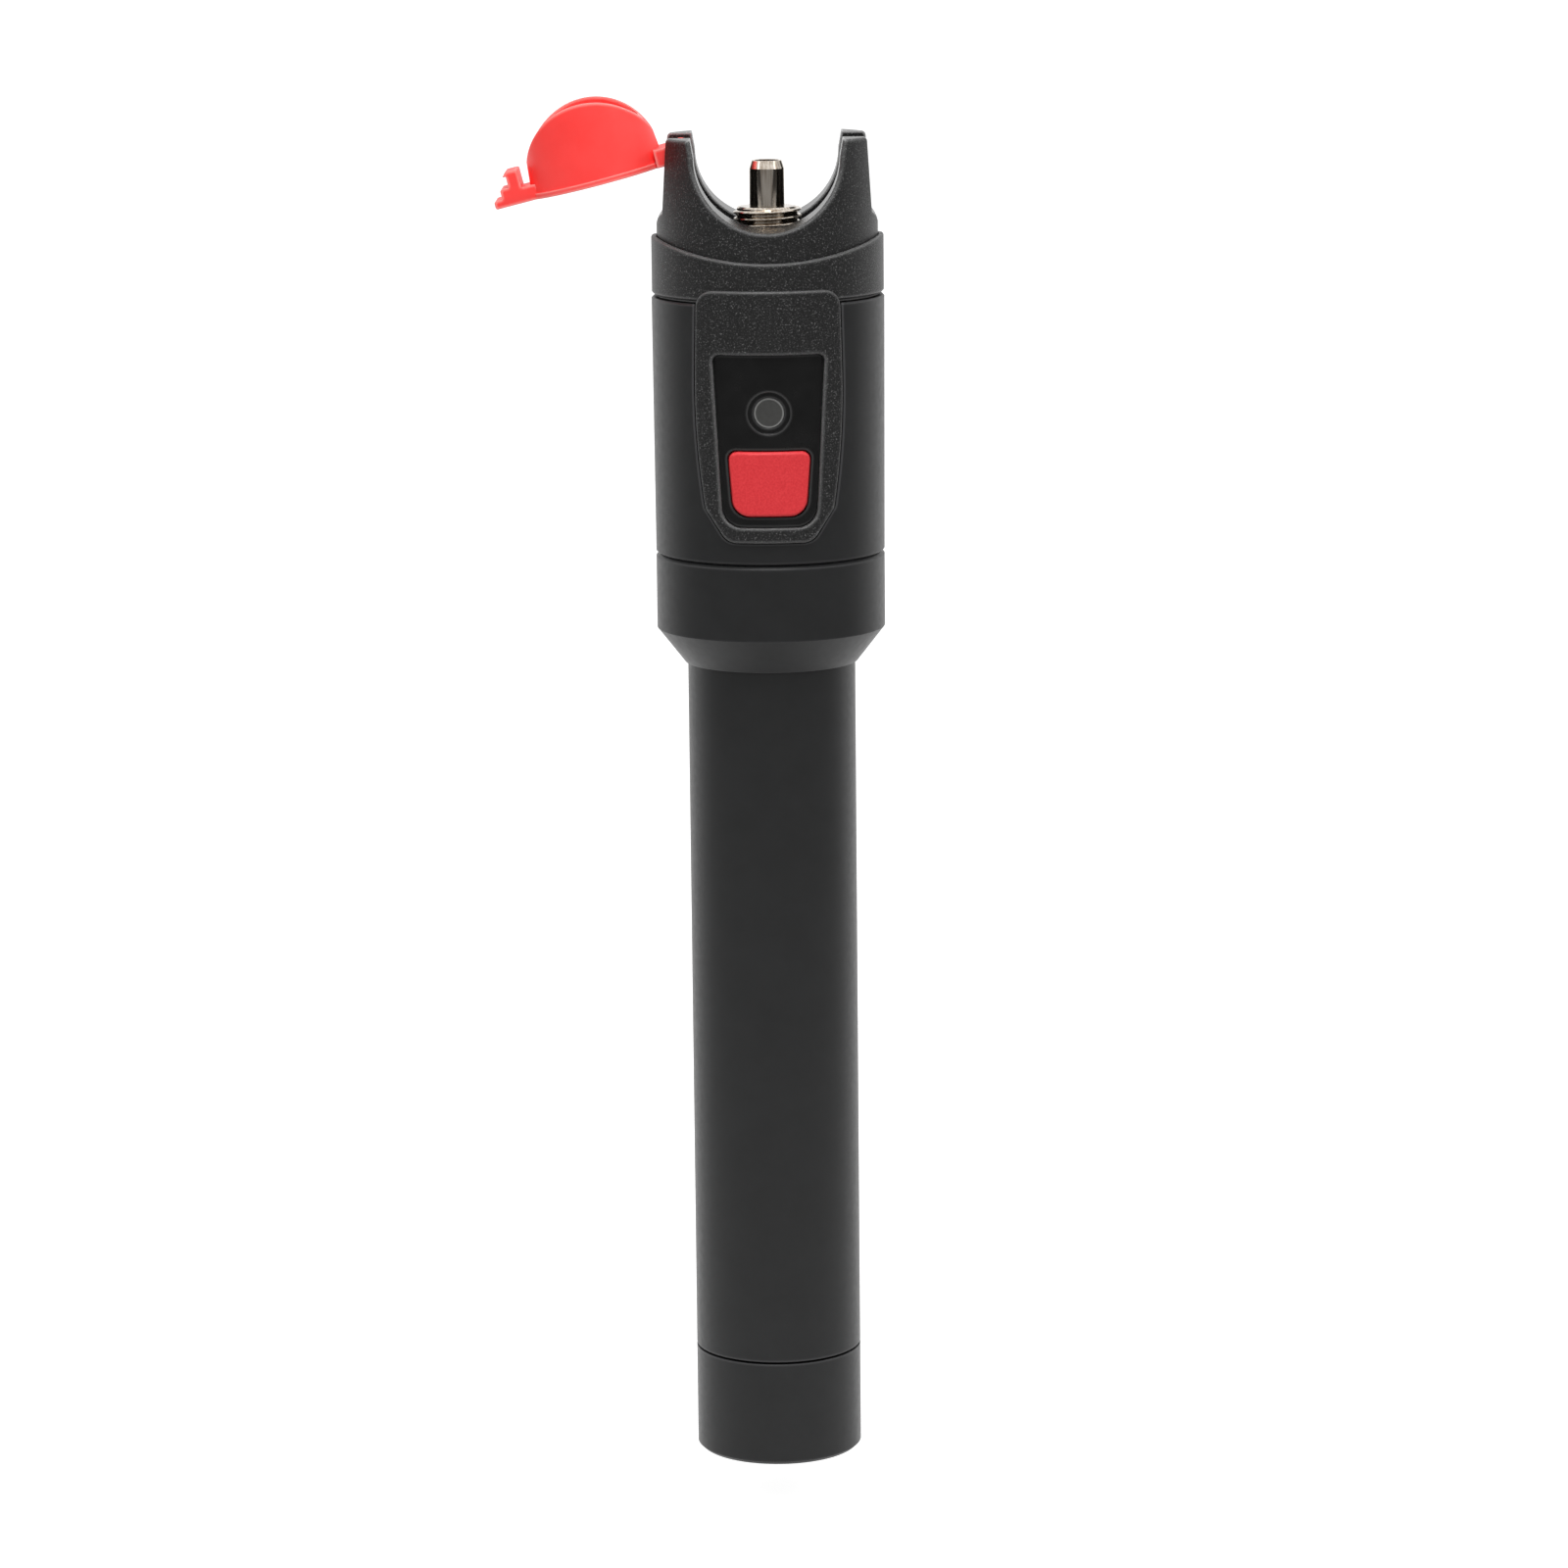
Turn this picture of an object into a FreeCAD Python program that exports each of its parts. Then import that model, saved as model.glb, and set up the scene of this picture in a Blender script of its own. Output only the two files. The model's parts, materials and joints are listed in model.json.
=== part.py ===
"""Pen-type visual fault locator: a battery tube, a wider laser head and a hinged dust cap.

The part stands on its tail face. The tube's axis is +Z, the button faces -Y and the dust cap
hinges at -X. All lengths are millimetres and angles are degrees.
"""

import FreeCAD, Part
import math
import os
from collections import namedtuple
from types import SimpleNamespace

import Sketcher
from FreeCAD import Placement, Rotation, Vector

FULL_TURN = 360.0
CUT_OVERRUN = 1.0

SIZES = {
    # Fits between neighbouring pieces
    "slip_gap": 0.05,
    "running_gap": 0.1,
    "loose_gap": 0.3,
    # Battery stack: two AA cells on a spring
    "cell_radius": 7.1,
    "cell_length": 50.5,
    "cell_nub_radius": 2.75,
    "cell_nub_height": 1.0,
    "cell_edge": 0.6,
    "spring_height": 5.9,
    "spring_coil_radius": 4.2,
    "spring_wire_radius": 0.4,
    "spring_pitch": 1.7,
    # Tail cap
    "tail_cap_length": 12.45,
    "tail_floor": 2.0,
    "tail_edge": 0.4,
    "tail_seam_gap": 0.3,
    "tail_neck_radius": 8.65,
    "tail_neck_height": 5.55,
    "tail_contact_radius": 7.0,
    "tail_contact_thickness": 0.5,
    "tail_ring_section": 0.5,
    "tail_ring_seat_radius": 8.2,
    "tail_ring_seat_height": 1.55,
    # Battery tube
    "tube_radius": 9.85,
    "tube_bore_radius": 7.65,
    # Reducer ring between the tube and the head
    "ring_radius": 13.4,
    "ring_mouth_wall": 0.29,
    "ring_cone_height": 4.12,
    "ring_tube_engagement": 8.06,
    "ring_shelf": 4.9,
    "ring_shelf_bore_radius": 8.0,
    "ring_edge": 0.42,
    "ring_neck_height": 4.0,
    "ring_neck_radius": 12.1,
    "ring_neck_bore_radius": 10.9,
    "contact_standoff": 0.5,
    # Head sleeve
    "sleeve_length": 29.9,
    "sleeve_top_radius": 13.55,
    "sleeve_bore_radius": 12.2,
    "sleeve_edge": 0.2,
    # Bezel collar and its tongue
    "collar_radius": 13.5,
    "collar_gap": 0.15,
    "collar_height": 7.11,
    "collar_dip": 2.53,
    "collar_edge": 0.45,
    "collar_rim_edge": 0.3,
    "tongue_radius": 13.95,
    "tongue_inner_radius": 12.3,
    "tongue_foot_height": 2.7,
    "tongue_foot_half": 4.9,
    "tongue_knee_height": 6.55,
    "tongue_knee_half": 7.4,
    "tongue_waist_height": 22.0,
    "tongue_waist_half": 8.45,
    "tongue_side_radius": 90.0,
    "tongue_top_rise": 1.5,
    "tongue_top_half": 8.25,
    "tongue_corner": 2.0,
    "tongue_edge": 0.3,
    "window_foot_height": 4.5,
    "window_foot_half": 5.35,
    "window_top_height": 24.35,
    "window_top_half": 6.4,
    "window_foot_corner": 2.3,
    "window_top_corner": 0.8,
    # Window panel, indicator and power button
    "panel_radius": 13.35,
    "panel_back": 11.3,
    "indicator_height": 17.68,
    "indicator_radius": 1.7,
    "indicator_rim_radius": 2.43,
    "indicator_rim_depth": 0.45,
    "indicator_flange_radius": 2.4,
    "button_foot_height": 5.8,
    "button_length": 7.46,
    "button_foot_half": 4.15,
    "button_top_half": 4.74,
    "button_front_radius": 13.85,
    "button_flange_thickness": 0.7,
    "button_flange_rim": 0.45,
    "button_foot_corner": 2.0,
    "button_top_corner": 1.0,
    "button_edge": 0.35,
    "button_boss_radius": 1.5,
    # Circuit board and its parts
    "board_front": 8.0,
    "board_thickness": 1.0,
    "board_half_width": 7.0,
    "board_foot_height": 3.6,
    "board_top_height": 28.0,
    "switch_width": 4.6,
    "switch_thickness": 1.6,
    "switch_plunger_radius": 1.0,
    "switch_plunger_height": 0.5,
    "switch_well_depth": 0.6,
    "led_width": 2.0,
    "led_height": 1.25,
    "led_thickness": 0.8,
    "chip_width": 5.0,
    "chip_height": 4.0,
    "chip_thickness": 1.4,
    "chip_rise": 5.8,
    "screw_across": 5.7,
    "screw_drop": 2.3,
    "screw_shank_radius": 0.7,
    "screw_shank_length": 3.2,
    "screw_head_radius": 1.3,
    "screw_head_height": 0.8,
    # Inner chassis
    "chassis_base_radius": 10.8,
    "chassis_base_height": 2.0,
    "chassis_top_drop": 1.6,
    "rail_inner_half": 6.3,
    "rail_outer_half": 8.1,
    "rail_back": 6.0,
    "cradle_foot_height": 15.0,
    "cradle_length": 6.0,
    "cradle_front": 2.0,
    "screw_boss_inner": 4.4,
    "screw_boss_depth": 2.9,
    "screw_boss_length": 4.0,
    # Positive contact
    "positive_contact_radius": 3.8,
    "positive_contact_thickness": 0.2,
    "positive_rivet_radius": 1.0,
    "positive_rivet_height": 3.4,
    # Fork head
    "fork_radius": 12.85,
    "fork_bore_radius": 11.2,
    "fork_neck_radius": 12.1,
    "fork_neck_height": 3.4,
    "fork_floor_thickness": 3.5,
    "saddle_rise": 7.95,
    "saddle_radius": 8.4,
    "horn_height": 10.4,
    "horn_mouth_half": 8.75,
    "horn_top_half": 11.55,
    "horn_root_half": 12.1,
    "horn_root_rise": 1.7,
    "horn_shoulder_drop": 2.1,
    "horn_shoulder_radius": 2.6,
    "channel_half_length": 11.25,
    "channel_half_width": 4.4,
    "latch_web_drop": 3.0,
    "horn_corner": 0.5,
    "horn_edge": 0.35,
    # Dust cap and its hinge
    "hinge_across": 10.0,
    "hinge_drop": 1.7,
    "hinge_stop_gap": 0.1,
    "knuckle_radius": 1.2,
    "pin_radius": 0.6,
    "pin_half_length": 5.9,
    "cap_open_angle": 194.0,
    "cap_roof": 1.1,
    "cap_plate_thickness": 0.65,
    "cap_half_length": 8.1,
    "cap_narrowing": 1.0,
    "cap_arm_half_width": 4.1,
    "cap_arm_depth": 2.1,
    "cap_rim_inset": 0.15,
    "skirt_foot_half_length": 7.0,
    "skirt_foot_narrowing": 0.3,
    "skirt_wall": 1.0,
    "skirt_saddle_gap": 0.35,
    "hook_half_width": 3.0,
    "hook_inner_reach": 8.7,
    "hook_stem_reach": 10.15,
    "hook_barb_reach": 10.55,
    "hook_step_reach": 11.2,
    "nose_reach": 12.2,
    "nose_thickness": 0.95,
    "hook_root_drop": 1.75,
    "hook_step_drop": 2.1,
    "hook_barb_drop": 3.4,
    "hook_drop": 3.9,
    "hook_corner": 0.25,
    # Connector port and optics
    "port_stud_radius": 4.0,
    "port_stud_rise": 2.2,
    "port_stud_edge": 0.5,
    "port_stud_depth": 9.0,
    "port_barrel_radius": 2.03,
    "port_barrel_height": 5.3,
    "port_nose_radius": 1.75,
    "port_mouth_radius": 1.45,
    "port_nose_length": 0.95,
    "port_lip": 1.2,
    "port_aperture_radius": 0.8,
    "ferrule_sleeve_length": 11.4,
    "ferrule_radius": 1.25,
    "sleeve_wall": 0.35,
    "sleeve_slit": 0.4,
    "housing_radius": 6.0,
    "housing_foot_height": 12.6,
    "housing_lens_bore_radius": 3.0,
    "housing_throat_radius": 1.8,
    "housing_throat_length": 1.5,
    "lens_thickness": 2.0,
    "lens_sagitta": 0.6,
    "diode_can_radius": 2.35,
    "diode_can_height": 2.6,
    "diode_flange_radius": 2.8,
    "diode_flange_height": 1.2,
    "diode_lead_radius": 0.23,
    "diode_lead_length": 4.0,
    "diode_lead_spread": 1.0,
}


class Size:
    """A number together with the sheet expression that gives it."""

    def __init__(self, value, text):
        self.value = float(value)
        self.text = text

    def __add__(self, other):
        other = as_size(other)
        return Size(self.value + other.value, f"({self.text} + {other.text})")

    def __sub__(self, other):
        other = as_size(other)
        return Size(self.value - other.value, f"({self.text} - {other.text})")

    def __mul__(self, other):
        other = as_size(other)
        return Size(self.value * other.value, f"({self.text} * {other.text})")

    def __truediv__(self, other):
        other = as_size(other)
        return Size(self.value / other.value, f"({self.text} / {other.text})")

    def __radd__(self, other):
        return as_size(other) + self

    def __rsub__(self, other):
        return as_size(other) - self

    def __rmul__(self, other):
        return as_size(other) * self

    def __neg__(self):
        return Size(-self.value, f"(-1 * {self.text})")


Bend = namedtuple("Bend", "radius turn")


def as_size(number):
    """Wraps a plain number, so that it can stand beside sizes from the sheet."""
    if isinstance(number, Size):
        return number
    return Size(number, repr(float(number)))


def cosine(angle):
    return Size(math.cos(math.radians(angle.value)), f"cos({angle.text})")


def tangent(angle):
    return Size(math.tan(math.radians(angle.value)), f"tan({angle.text})")


def left(radius):
    """An arc to the next corner that turns anticlockwise."""
    return Bend(as_size(radius), 1)


def right(radius):
    """An arc to the next corner that turns clockwise."""
    return Bend(as_size(radius), -1)


def make_sheet(doc):
    """Writes the driving sizes to the document's sheet and returns them by name."""
    sheet = doc.addObject("Spreadsheet::Sheet", "Sizes")
    named = {}
    for row, (alias, value) in enumerate(SIZES.items(), start=1):
        sheet.set(f"A{row}", alias)
        sheet.set(f"B{row}", str(value))
        sheet.setAlias(f"B{row}", alias)
        named[alias] = Size(value, f"Sizes.{alias}")
    doc.recompute()
    return SimpleNamespace(**named)


def add_levels(s):
    """Adds the heights that the stack of pieces gives, from the tail face up."""
    s.tube_foot = s.tail_cap_length + s.tail_seam_gap
    s.neck_top = s.tail_cap_length + s.tail_neck_height
    s.contact_top = s.tail_floor + s.tail_contact_thickness
    s.lower_cell_foot = s.contact_top + s.spring_height
    s.upper_cell_foot = s.lower_cell_foot + s.cell_length
    s.stack_top = s.upper_cell_foot + s.cell_length
    s.joint = s.stack_top - s.contact_standoff
    s.ring_seat = s.joint - s.ring_shelf
    s.tube_top = s.ring_seat - s.running_gap
    s.ring_foot = s.ring_seat - s.ring_tube_engagement
    s.sleeve_foot = s.joint + s.running_gap
    s.sleeve_top = s.sleeve_foot + s.sleeve_length
    s.collar_foot = s.sleeve_top + s.collar_gap
    s.collar_top = s.collar_foot + s.collar_height
    s.tongue_top = s.collar_foot + s.tongue_top_rise
    s.saddle = s.collar_foot + s.saddle_rise
    s.horn_top = s.saddle + s.horn_height
    s.floor_underside = s.saddle - s.fork_floor_thickness
    s.hinge_height = s.horn_top - s.hinge_drop
    s.indicator = s.joint + s.indicator_height
    s.button_foot = s.joint + s.button_foot_height
    s.button_middle = s.button_foot + s.button_length / 2
    s.board_foot = s.joint + s.board_foot_height
    s.board_top = s.joint + s.board_top_height
    s.screw_height = s.board_top - s.screw_drop
    s.chassis_foot = s.joint + s.slip_gap
    s.chassis_top = s.board_top - s.chassis_top_drop
    s.housing_foot = s.joint + s.housing_foot_height
    s.housing_top = s.floor_underside - s.running_gap
    s.stud_foot = s.saddle - s.port_stud_depth
    s.stud_top = s.saddle + s.port_stud_rise
    s.port_top = s.stud_top + s.port_barrel_height


def tie(sketch, name, constraint, size):
    """Adds a dimension to a sketch and binds it to the sheet."""
    index = sketch.addConstraint(constraint)
    sketch.renameConstraint(index, name)
    sketch.setExpression(f"Constraints.{name}", size.text)


def new_sketch(body, name, role="XZ_Plane", offset=None):
    """A sketch on one of the body's origin planes, moved along the plane's normal by offset."""
    sketch = body.newObject("Sketcher::SketchObject", f"{body.Name}_{name}")
    plane = next(item for item in body.Origin.OriginFeatures if item.Role == role)
    sketch.AttachmentSupport = [(plane, "")]
    sketch.MapMode = "FlatFace"
    if offset is not None:
        sketch.AttachmentOffset = Placement(Vector(0, 0, offset.value), Rotation())
        sketch.setExpression("AttachmentOffset.Base.z", offset.text)
    return sketch


def arc_between(start, end, bend):
    """The shorter arc of the bend's radius from start to end, always stored anticlockwise."""
    chord = end.sub(start)
    half = chord.Length / 2
    rise = math.sqrt(max(bend.radius.value**2 - half**2, 0.0))
    normal = Vector(-chord.y, chord.x, 0).normalize()
    centre = start + chord * 0.5 + normal * rise * bend.turn
    first, last = (start, end) if bend.turn > 0 else (end, start)
    angles = [math.atan2(point.y - centre.y, point.x - centre.x) for point in (first, last)]
    circle = Part.Circle(centre, Vector(0, 0, 1), bend.radius.value)
    return Part.ArcOfCircle(circle, angles[0], angles[1])


def outline(sketch, corners):
    """Draws a closed loop of lines and arcs with every corner tied to the sheet.

    A corner is (x, y), or (x, y, bend) where an arc runs on to the next corner.
    """
    places = [(as_size(corner[0]), as_size(corner[1])) for corner in corners]
    points = [Vector(x.value, y.value, 0) for x, y in places]
    bends = [corner[2] if len(corner) > 2 else None for corner in corners]
    curves = []
    for index, bend in enumerate(bends):
        start = points[index]
        end = points[(index + 1) % len(points)]
        curves.append(arc_between(start, end, bend) if bend else Part.LineSegment(start, end))
    first = sketch.GeometryCount
    sketch.addGeometry(curves, False)
    backwards = [bend is not None and bend.turn < 0 for bend in bends]
    for index, (across, up) in enumerate(places):
        here = first + index
        head = 2 if backwards[index] else 1
        before = (index - 1) % len(places)
        tail = 1 if backwards[before] else 2
        sketch.addConstraint(Sketcher.Constraint("Coincident", first + before, tail, here, head))
        span = Sketcher.Constraint("DistanceX", -1, 1, here, head, across.value)
        rise = Sketcher.Constraint("DistanceY", -1, 1, here, head, up.value)
        tie(sketch, f"across{here}", span, across)
        tie(sketch, f"up{here}", rise, up)
        if bends[index]:
            radius = bends[index].radius
            tie(sketch, f"bend{here}", Sketcher.Constraint("Radius", here, radius.value), radius)


def circle(sketch, across, up, radius):
    """Draws a full circle tied to the sheet."""
    across, up = as_size(across), as_size(up)
    centre = Vector(across.value, up.value, 0)
    here = sketch.addGeometry(Part.Circle(centre, Vector(0, 0, 1), radius.value), False)
    tie(sketch, f"radius{here}", Sketcher.Constraint("Radius", here, radius.value), radius)
    span = Sketcher.Constraint("DistanceX", -1, 1, here, 3, across.value)
    rise = Sketcher.Constraint("DistanceY", -1, 1, here, 3, up.value)
    tie(sketch, f"across{here}", span, across)
    tie(sketch, f"up{here}", rise, up)


def oval(sketch, across, half_length, narrowing):
    """Draws an ellipse centred at (across, 0) that is narrower along the sketch's second axis."""
    half_width = half_length - narrowing
    centre = Vector(across.value, 0, 0)
    long_end = centre + Vector(half_length.value, 0, 0)
    short_end = centre + Vector(0, half_width.value, 0)
    here = sketch.addGeometry(Part.Ellipse(long_end, short_end, centre), False)
    sketch.exposeInternalGeometry(here)
    sketch.addConstraint(Sketcher.Constraint("Horizontal", here + 1))
    sketch.addConstraint(Sketcher.Constraint("PointOnObject", here, 3, -1))
    long_axis = Sketcher.Constraint("Distance", here + 1, 2 * half_length.value)
    short_axis = Sketcher.Constraint("Distance", here + 2, 2 * half_width.value)
    span = Sketcher.Constraint("DistanceX", -1, 1, here, 3, across.value)
    tie(sketch, "long_axis", long_axis, 2 * half_length)
    tie(sketch, "short_axis", short_axis, 2 * half_width)
    tie(sketch, "across", span, across)


def mirrored(chain):
    """Closes a chain of corners on the +X side with its mirror image in X = 0."""
    loop = list(chain)
    for index in range(len(chain) - 1, -1, -1):
        across = as_size(chain[index][0])
        if across.value == 0:
            continue
        bend = chain[index - 1][2:] if index > 0 else ()
        loop.append((-across, chain[index][1], *bend))
    return loop


def rectangle(x_low, y_low, x_high, y_high):
    return [(x_low, y_low), (x_high, y_low), (x_high, y_high), (x_low, y_high)]


def revolve(body, name, corners, kind="Revolution"):
    """Turns a profile in the XZ plane about Z; kind is Revolution or Groove."""
    sketch = new_sketch(body, f"{name}_profile")
    outline(sketch, corners)
    feature = body.newObject(f"PartDesign::{kind}", f"{body.Name}_{name}")
    feature.Profile = sketch
    feature.ReferenceAxis = (sketch, ["V_Axis"])
    feature.Angle = FULL_TURN
    return feature


def extrude(body, sketch, length, kind="Pad", symmetric=False, reverse=False):
    """Pads or pockets a sketch by a bound length."""
    feature = body.newObject(f"PartDesign::{kind}", f"{sketch.Name}_{kind.lower()}")
    feature.Profile = sketch
    feature.setExpression("Length", as_size(length).text)
    feature.SideType = "Symmetric" if symmetric else "One side"
    feature.Reversed = reverse
    return feature


def pad_outline(body, name, corners, length, symmetric=False):
    """Pads an outline in the XZ plane towards -Y, or to both sides of it."""
    sketch = new_sketch(body, name)
    outline(sketch, corners)
    return extrude(body, sketch, length, symmetric=symmetric)


def cut_outline(body, name, corners, length, symmetric=False):
    """Cuts an outline in the XZ plane towards -Y, or to both sides of it."""
    sketch = new_sketch(body, name)
    outline(sketch, corners)
    return extrude(body, sketch, length, "Pocket", symmetric, reverse=not symmetric)


def cut_circle(body, name, across, up, radius, length, symmetric=False):
    """Cuts a round hole along Y from the XZ plane."""
    sketch = new_sketch(body, name)
    circle(sketch, across, up, radius)
    return extrude(body, sketch, length, "Pocket", symmetric, reverse=not symmetric)


def trim_outside(body, name, radius, low, high):
    """Removes everything further from the axis than radius between two heights."""
    beyond = radius * 2
    return revolve(body, name, rectangle(radius, low, beyond, high), "Groove")


def trim_inside(body, name, radius, low, high):
    """Removes everything nearer to the axis than radius between two heights."""
    return revolve(body, name, rectangle(as_size(0), low, radius, high), "Groove")


def edges_along_y(shape, places):
    """The names of the edges that run along Y through the given (x, z) places or their mirrors."""
    names = []
    for number, edge in enumerate(shape.Edges, start=1):
        start, end = edge.Vertexes[0].Point, edge.Vertexes[-1].Point
        along = abs(start.y - end.y)
        if along < 0.1 or abs(start.x - end.x) > 1e-4 or abs(start.z - end.z) > 1e-4:
            continue
        for across, up in places:
            if abs(abs(start.x) - across.value) < 1e-3 and abs(start.z - up.value) < 1e-3:
                names.append(f"Edge{number}")
    return names


def soften(body, name, edges, size, kind="Fillet"):
    """Fillets or chamfers named edges of the body's last feature."""
    feature = body.newObject(f"PartDesign::{kind}", f"{body.Name}_{name}")
    feature.Base = (body.Group[-2], edges)
    feature.setExpression("Radius" if kind == "Fillet" else "Size", size.text)
    return feature


def round_corners(body, name, places, size):
    """Rounds the corners of an outline that was extruded along Y."""
    body.Document.recompute()
    return soften(body, name, edges_along_y(body.Tip.Shape, places), size)


def new_body(doc, name):
    return doc.addObject("PartDesign::Body", name)


def turned(doc, name, corners):
    """A piece made as one turned profile."""
    body = new_body(doc, name)
    revolve(body, "turning", corners)
    return body


def cylinder(doc, name, radius, length, base, axis=Vector(0, 0, 1)):
    """A bound cylinder whose base point is given as three sizes."""
    solid = doc.addObject("Part::Cylinder", name)
    solid.setExpression("Radius", radius.text)
    solid.setExpression("Height", length.text)
    solid.Placement = Placement(Vector(), Rotation(Vector(0, 0, 1), axis))
    bind_base(solid, base)
    return solid


def block(doc, name, spans, base):
    """A bound box from its three side lengths and its lowest corner."""
    solid = doc.addObject("Part::Box", name)
    for side, span in zip(("Length", "Width", "Height"), spans):
        solid.setExpression(side, as_size(span).text)
    bind_base(solid, base)
    return solid


def bind_base(solid, base):
    for axis, place in zip("xyz", base):
        solid.setExpression(f"Placement.Base.{axis}", as_size(place).text)


# ---------------------------------------------------------------- battery end


def make_tail_cap(doc, s):
    seat_top = s.tail_cap_length + s.tail_ring_seat_height
    return turned(doc, "tail_cap", [
        (0, 0),
        (s.tube_radius - s.tail_edge, 0),
        (s.tube_radius, s.tail_edge),
        (s.tube_radius, s.tail_cap_length),
        (s.tail_ring_seat_radius, s.tail_cap_length),
        (s.tail_ring_seat_radius, seat_top),
        (s.tail_neck_radius, seat_top),
        (s.tail_neck_radius, s.neck_top),
        (s.tube_bore_radius, s.neck_top),
        (s.tube_bore_radius, s.tail_floor),
        (0, s.tail_floor),
    ])


def make_tail_o_ring(doc, s):
    ring = doc.addObject("Part::Torus", "tail_o_ring")
    ring.setExpression("Radius1", (s.tail_ring_seat_radius + s.tail_ring_section).text)
    ring.setExpression("Radius2", s.tail_ring_section.text)
    middle = s.tail_cap_length + s.tail_ring_seat_height / 2
    bind_base(ring, (0, 0, middle))
    return ring


def make_tail_contact(doc, s):
    base = (0, 0, s.tail_floor)
    return cylinder(doc, "tail_contact", s.tail_contact_radius, s.tail_contact_thickness, base)


def make_tail_spring(doc, s):
    foot = s.contact_top + s.spring_wire_radius
    rise = s.spring_height - 2 * s.spring_wire_radius
    path = doc.addObject("Part::Helix", "tail_spring_path")
    path.setExpression("Pitch", s.spring_pitch.text)
    path.setExpression("Height", rise.text)
    path.setExpression("Radius", s.spring_coil_radius.text)
    bind_base(path, (0, 0, foot))
    wire = doc.addObject("Part::Circle", "tail_spring_wire")
    wire.setExpression("Radius", s.spring_wire_radius.text)
    wire.Placement = Placement(Vector(), Rotation(Vector(1, 0, 0), 90))
    bind_base(wire, (s.spring_coil_radius, 0, foot))
    spring = doc.addObject("Part::Sweep", "tail_spring")
    spring.Sections = [wire]
    spring.Spine = (path, [])
    spring.Solid = True
    spring.Frenet = True
    return spring


def make_cell(doc, s, name, foot):
    shoulder = foot + s.cell_length - s.cell_nub_height
    return turned(doc, name, [
        (0, foot),
        (s.cell_radius - s.cell_edge, foot),
        (s.cell_radius, foot + s.cell_edge),
        (s.cell_radius, shoulder - s.cell_edge),
        (s.cell_radius - s.cell_edge, shoulder),
        (s.cell_nub_radius, shoulder),
        (s.cell_nub_radius, foot + s.cell_length),
        (0, foot + s.cell_length),
    ])


def make_battery_tube(doc, s):
    seat_radius = s.tail_ring_seat_radius + 2 * s.tail_ring_section + s.slip_gap
    seat_top = s.tube_foot + s.tail_ring_seat_height
    thread_radius = s.tail_neck_radius + s.running_gap
    thread_top = s.neck_top + s.loose_gap
    return turned(doc, "battery_tube", [
        (seat_radius, s.tube_foot),
        (s.tube_radius, s.tube_foot),
        (s.tube_radius, s.tube_top),
        (s.tube_bore_radius, s.tube_top),
        (s.tube_bore_radius, thread_top),
        (thread_radius, thread_top),
        (thread_radius, seat_top),
        (seat_radius, seat_top),
    ])


# ---------------------------------------------------------------- head shells


def make_reducer_ring(doc, s):
    socket_radius = s.tube_radius + s.slip_gap
    cone_top = s.ring_foot + s.ring_cone_height
    neck_top = s.joint + s.ring_neck_height
    return turned(doc, "reducer_ring", [
        (socket_radius, s.ring_foot),
        (socket_radius + s.ring_mouth_wall, s.ring_foot),
        (s.ring_radius, cone_top),
        (s.ring_radius, s.joint - s.ring_edge),
        (s.ring_radius - s.ring_edge, s.joint),
        (s.ring_neck_radius, s.joint),
        (s.ring_neck_radius, neck_top),
        (s.ring_neck_bore_radius, neck_top),
        (s.ring_neck_bore_radius, s.joint),
        (s.ring_shelf_bore_radius, s.joint),
        (s.ring_shelf_bore_radius, s.ring_seat),
        (socket_radius, s.ring_seat),
    ])


def tongue_chain(s, grow):
    """The +X side of the tongue's outline from its foot up, grown by a gap all round."""
    foot = s.joint + s.tongue_foot_height - grow
    return [
        (0, foot),
        (s.tongue_foot_half + grow, foot),
        (s.tongue_knee_half + grow, s.joint + s.tongue_knee_height, left(s.tongue_side_radius)),
        (s.tongue_waist_half + grow, s.joint + s.tongue_waist_height),
        (s.tongue_top_half + grow, s.tongue_top),
    ]


def make_head_sleeve(doc, s):
    body = turned(doc, "head_sleeve", [
        (s.sleeve_bore_radius, s.sleeve_foot),
        (s.ring_radius - s.sleeve_edge, s.sleeve_foot),
        (s.ring_radius, s.sleeve_foot + s.sleeve_edge),
        (s.sleeve_top_radius, s.sleeve_top - s.sleeve_edge),
        (s.sleeve_top_radius - s.sleeve_edge, s.sleeve_top),
        (s.sleeve_bore_radius, s.sleeve_top),
    ])
    chain = tongue_chain(s, s.running_gap)
    cut_outline(body, "tongue_slot", mirrored(chain), s.ring_radius * 2)
    round_corners(body, "slot_foot", [chain[1][:2]], s.tongue_corner)
    return body


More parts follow.
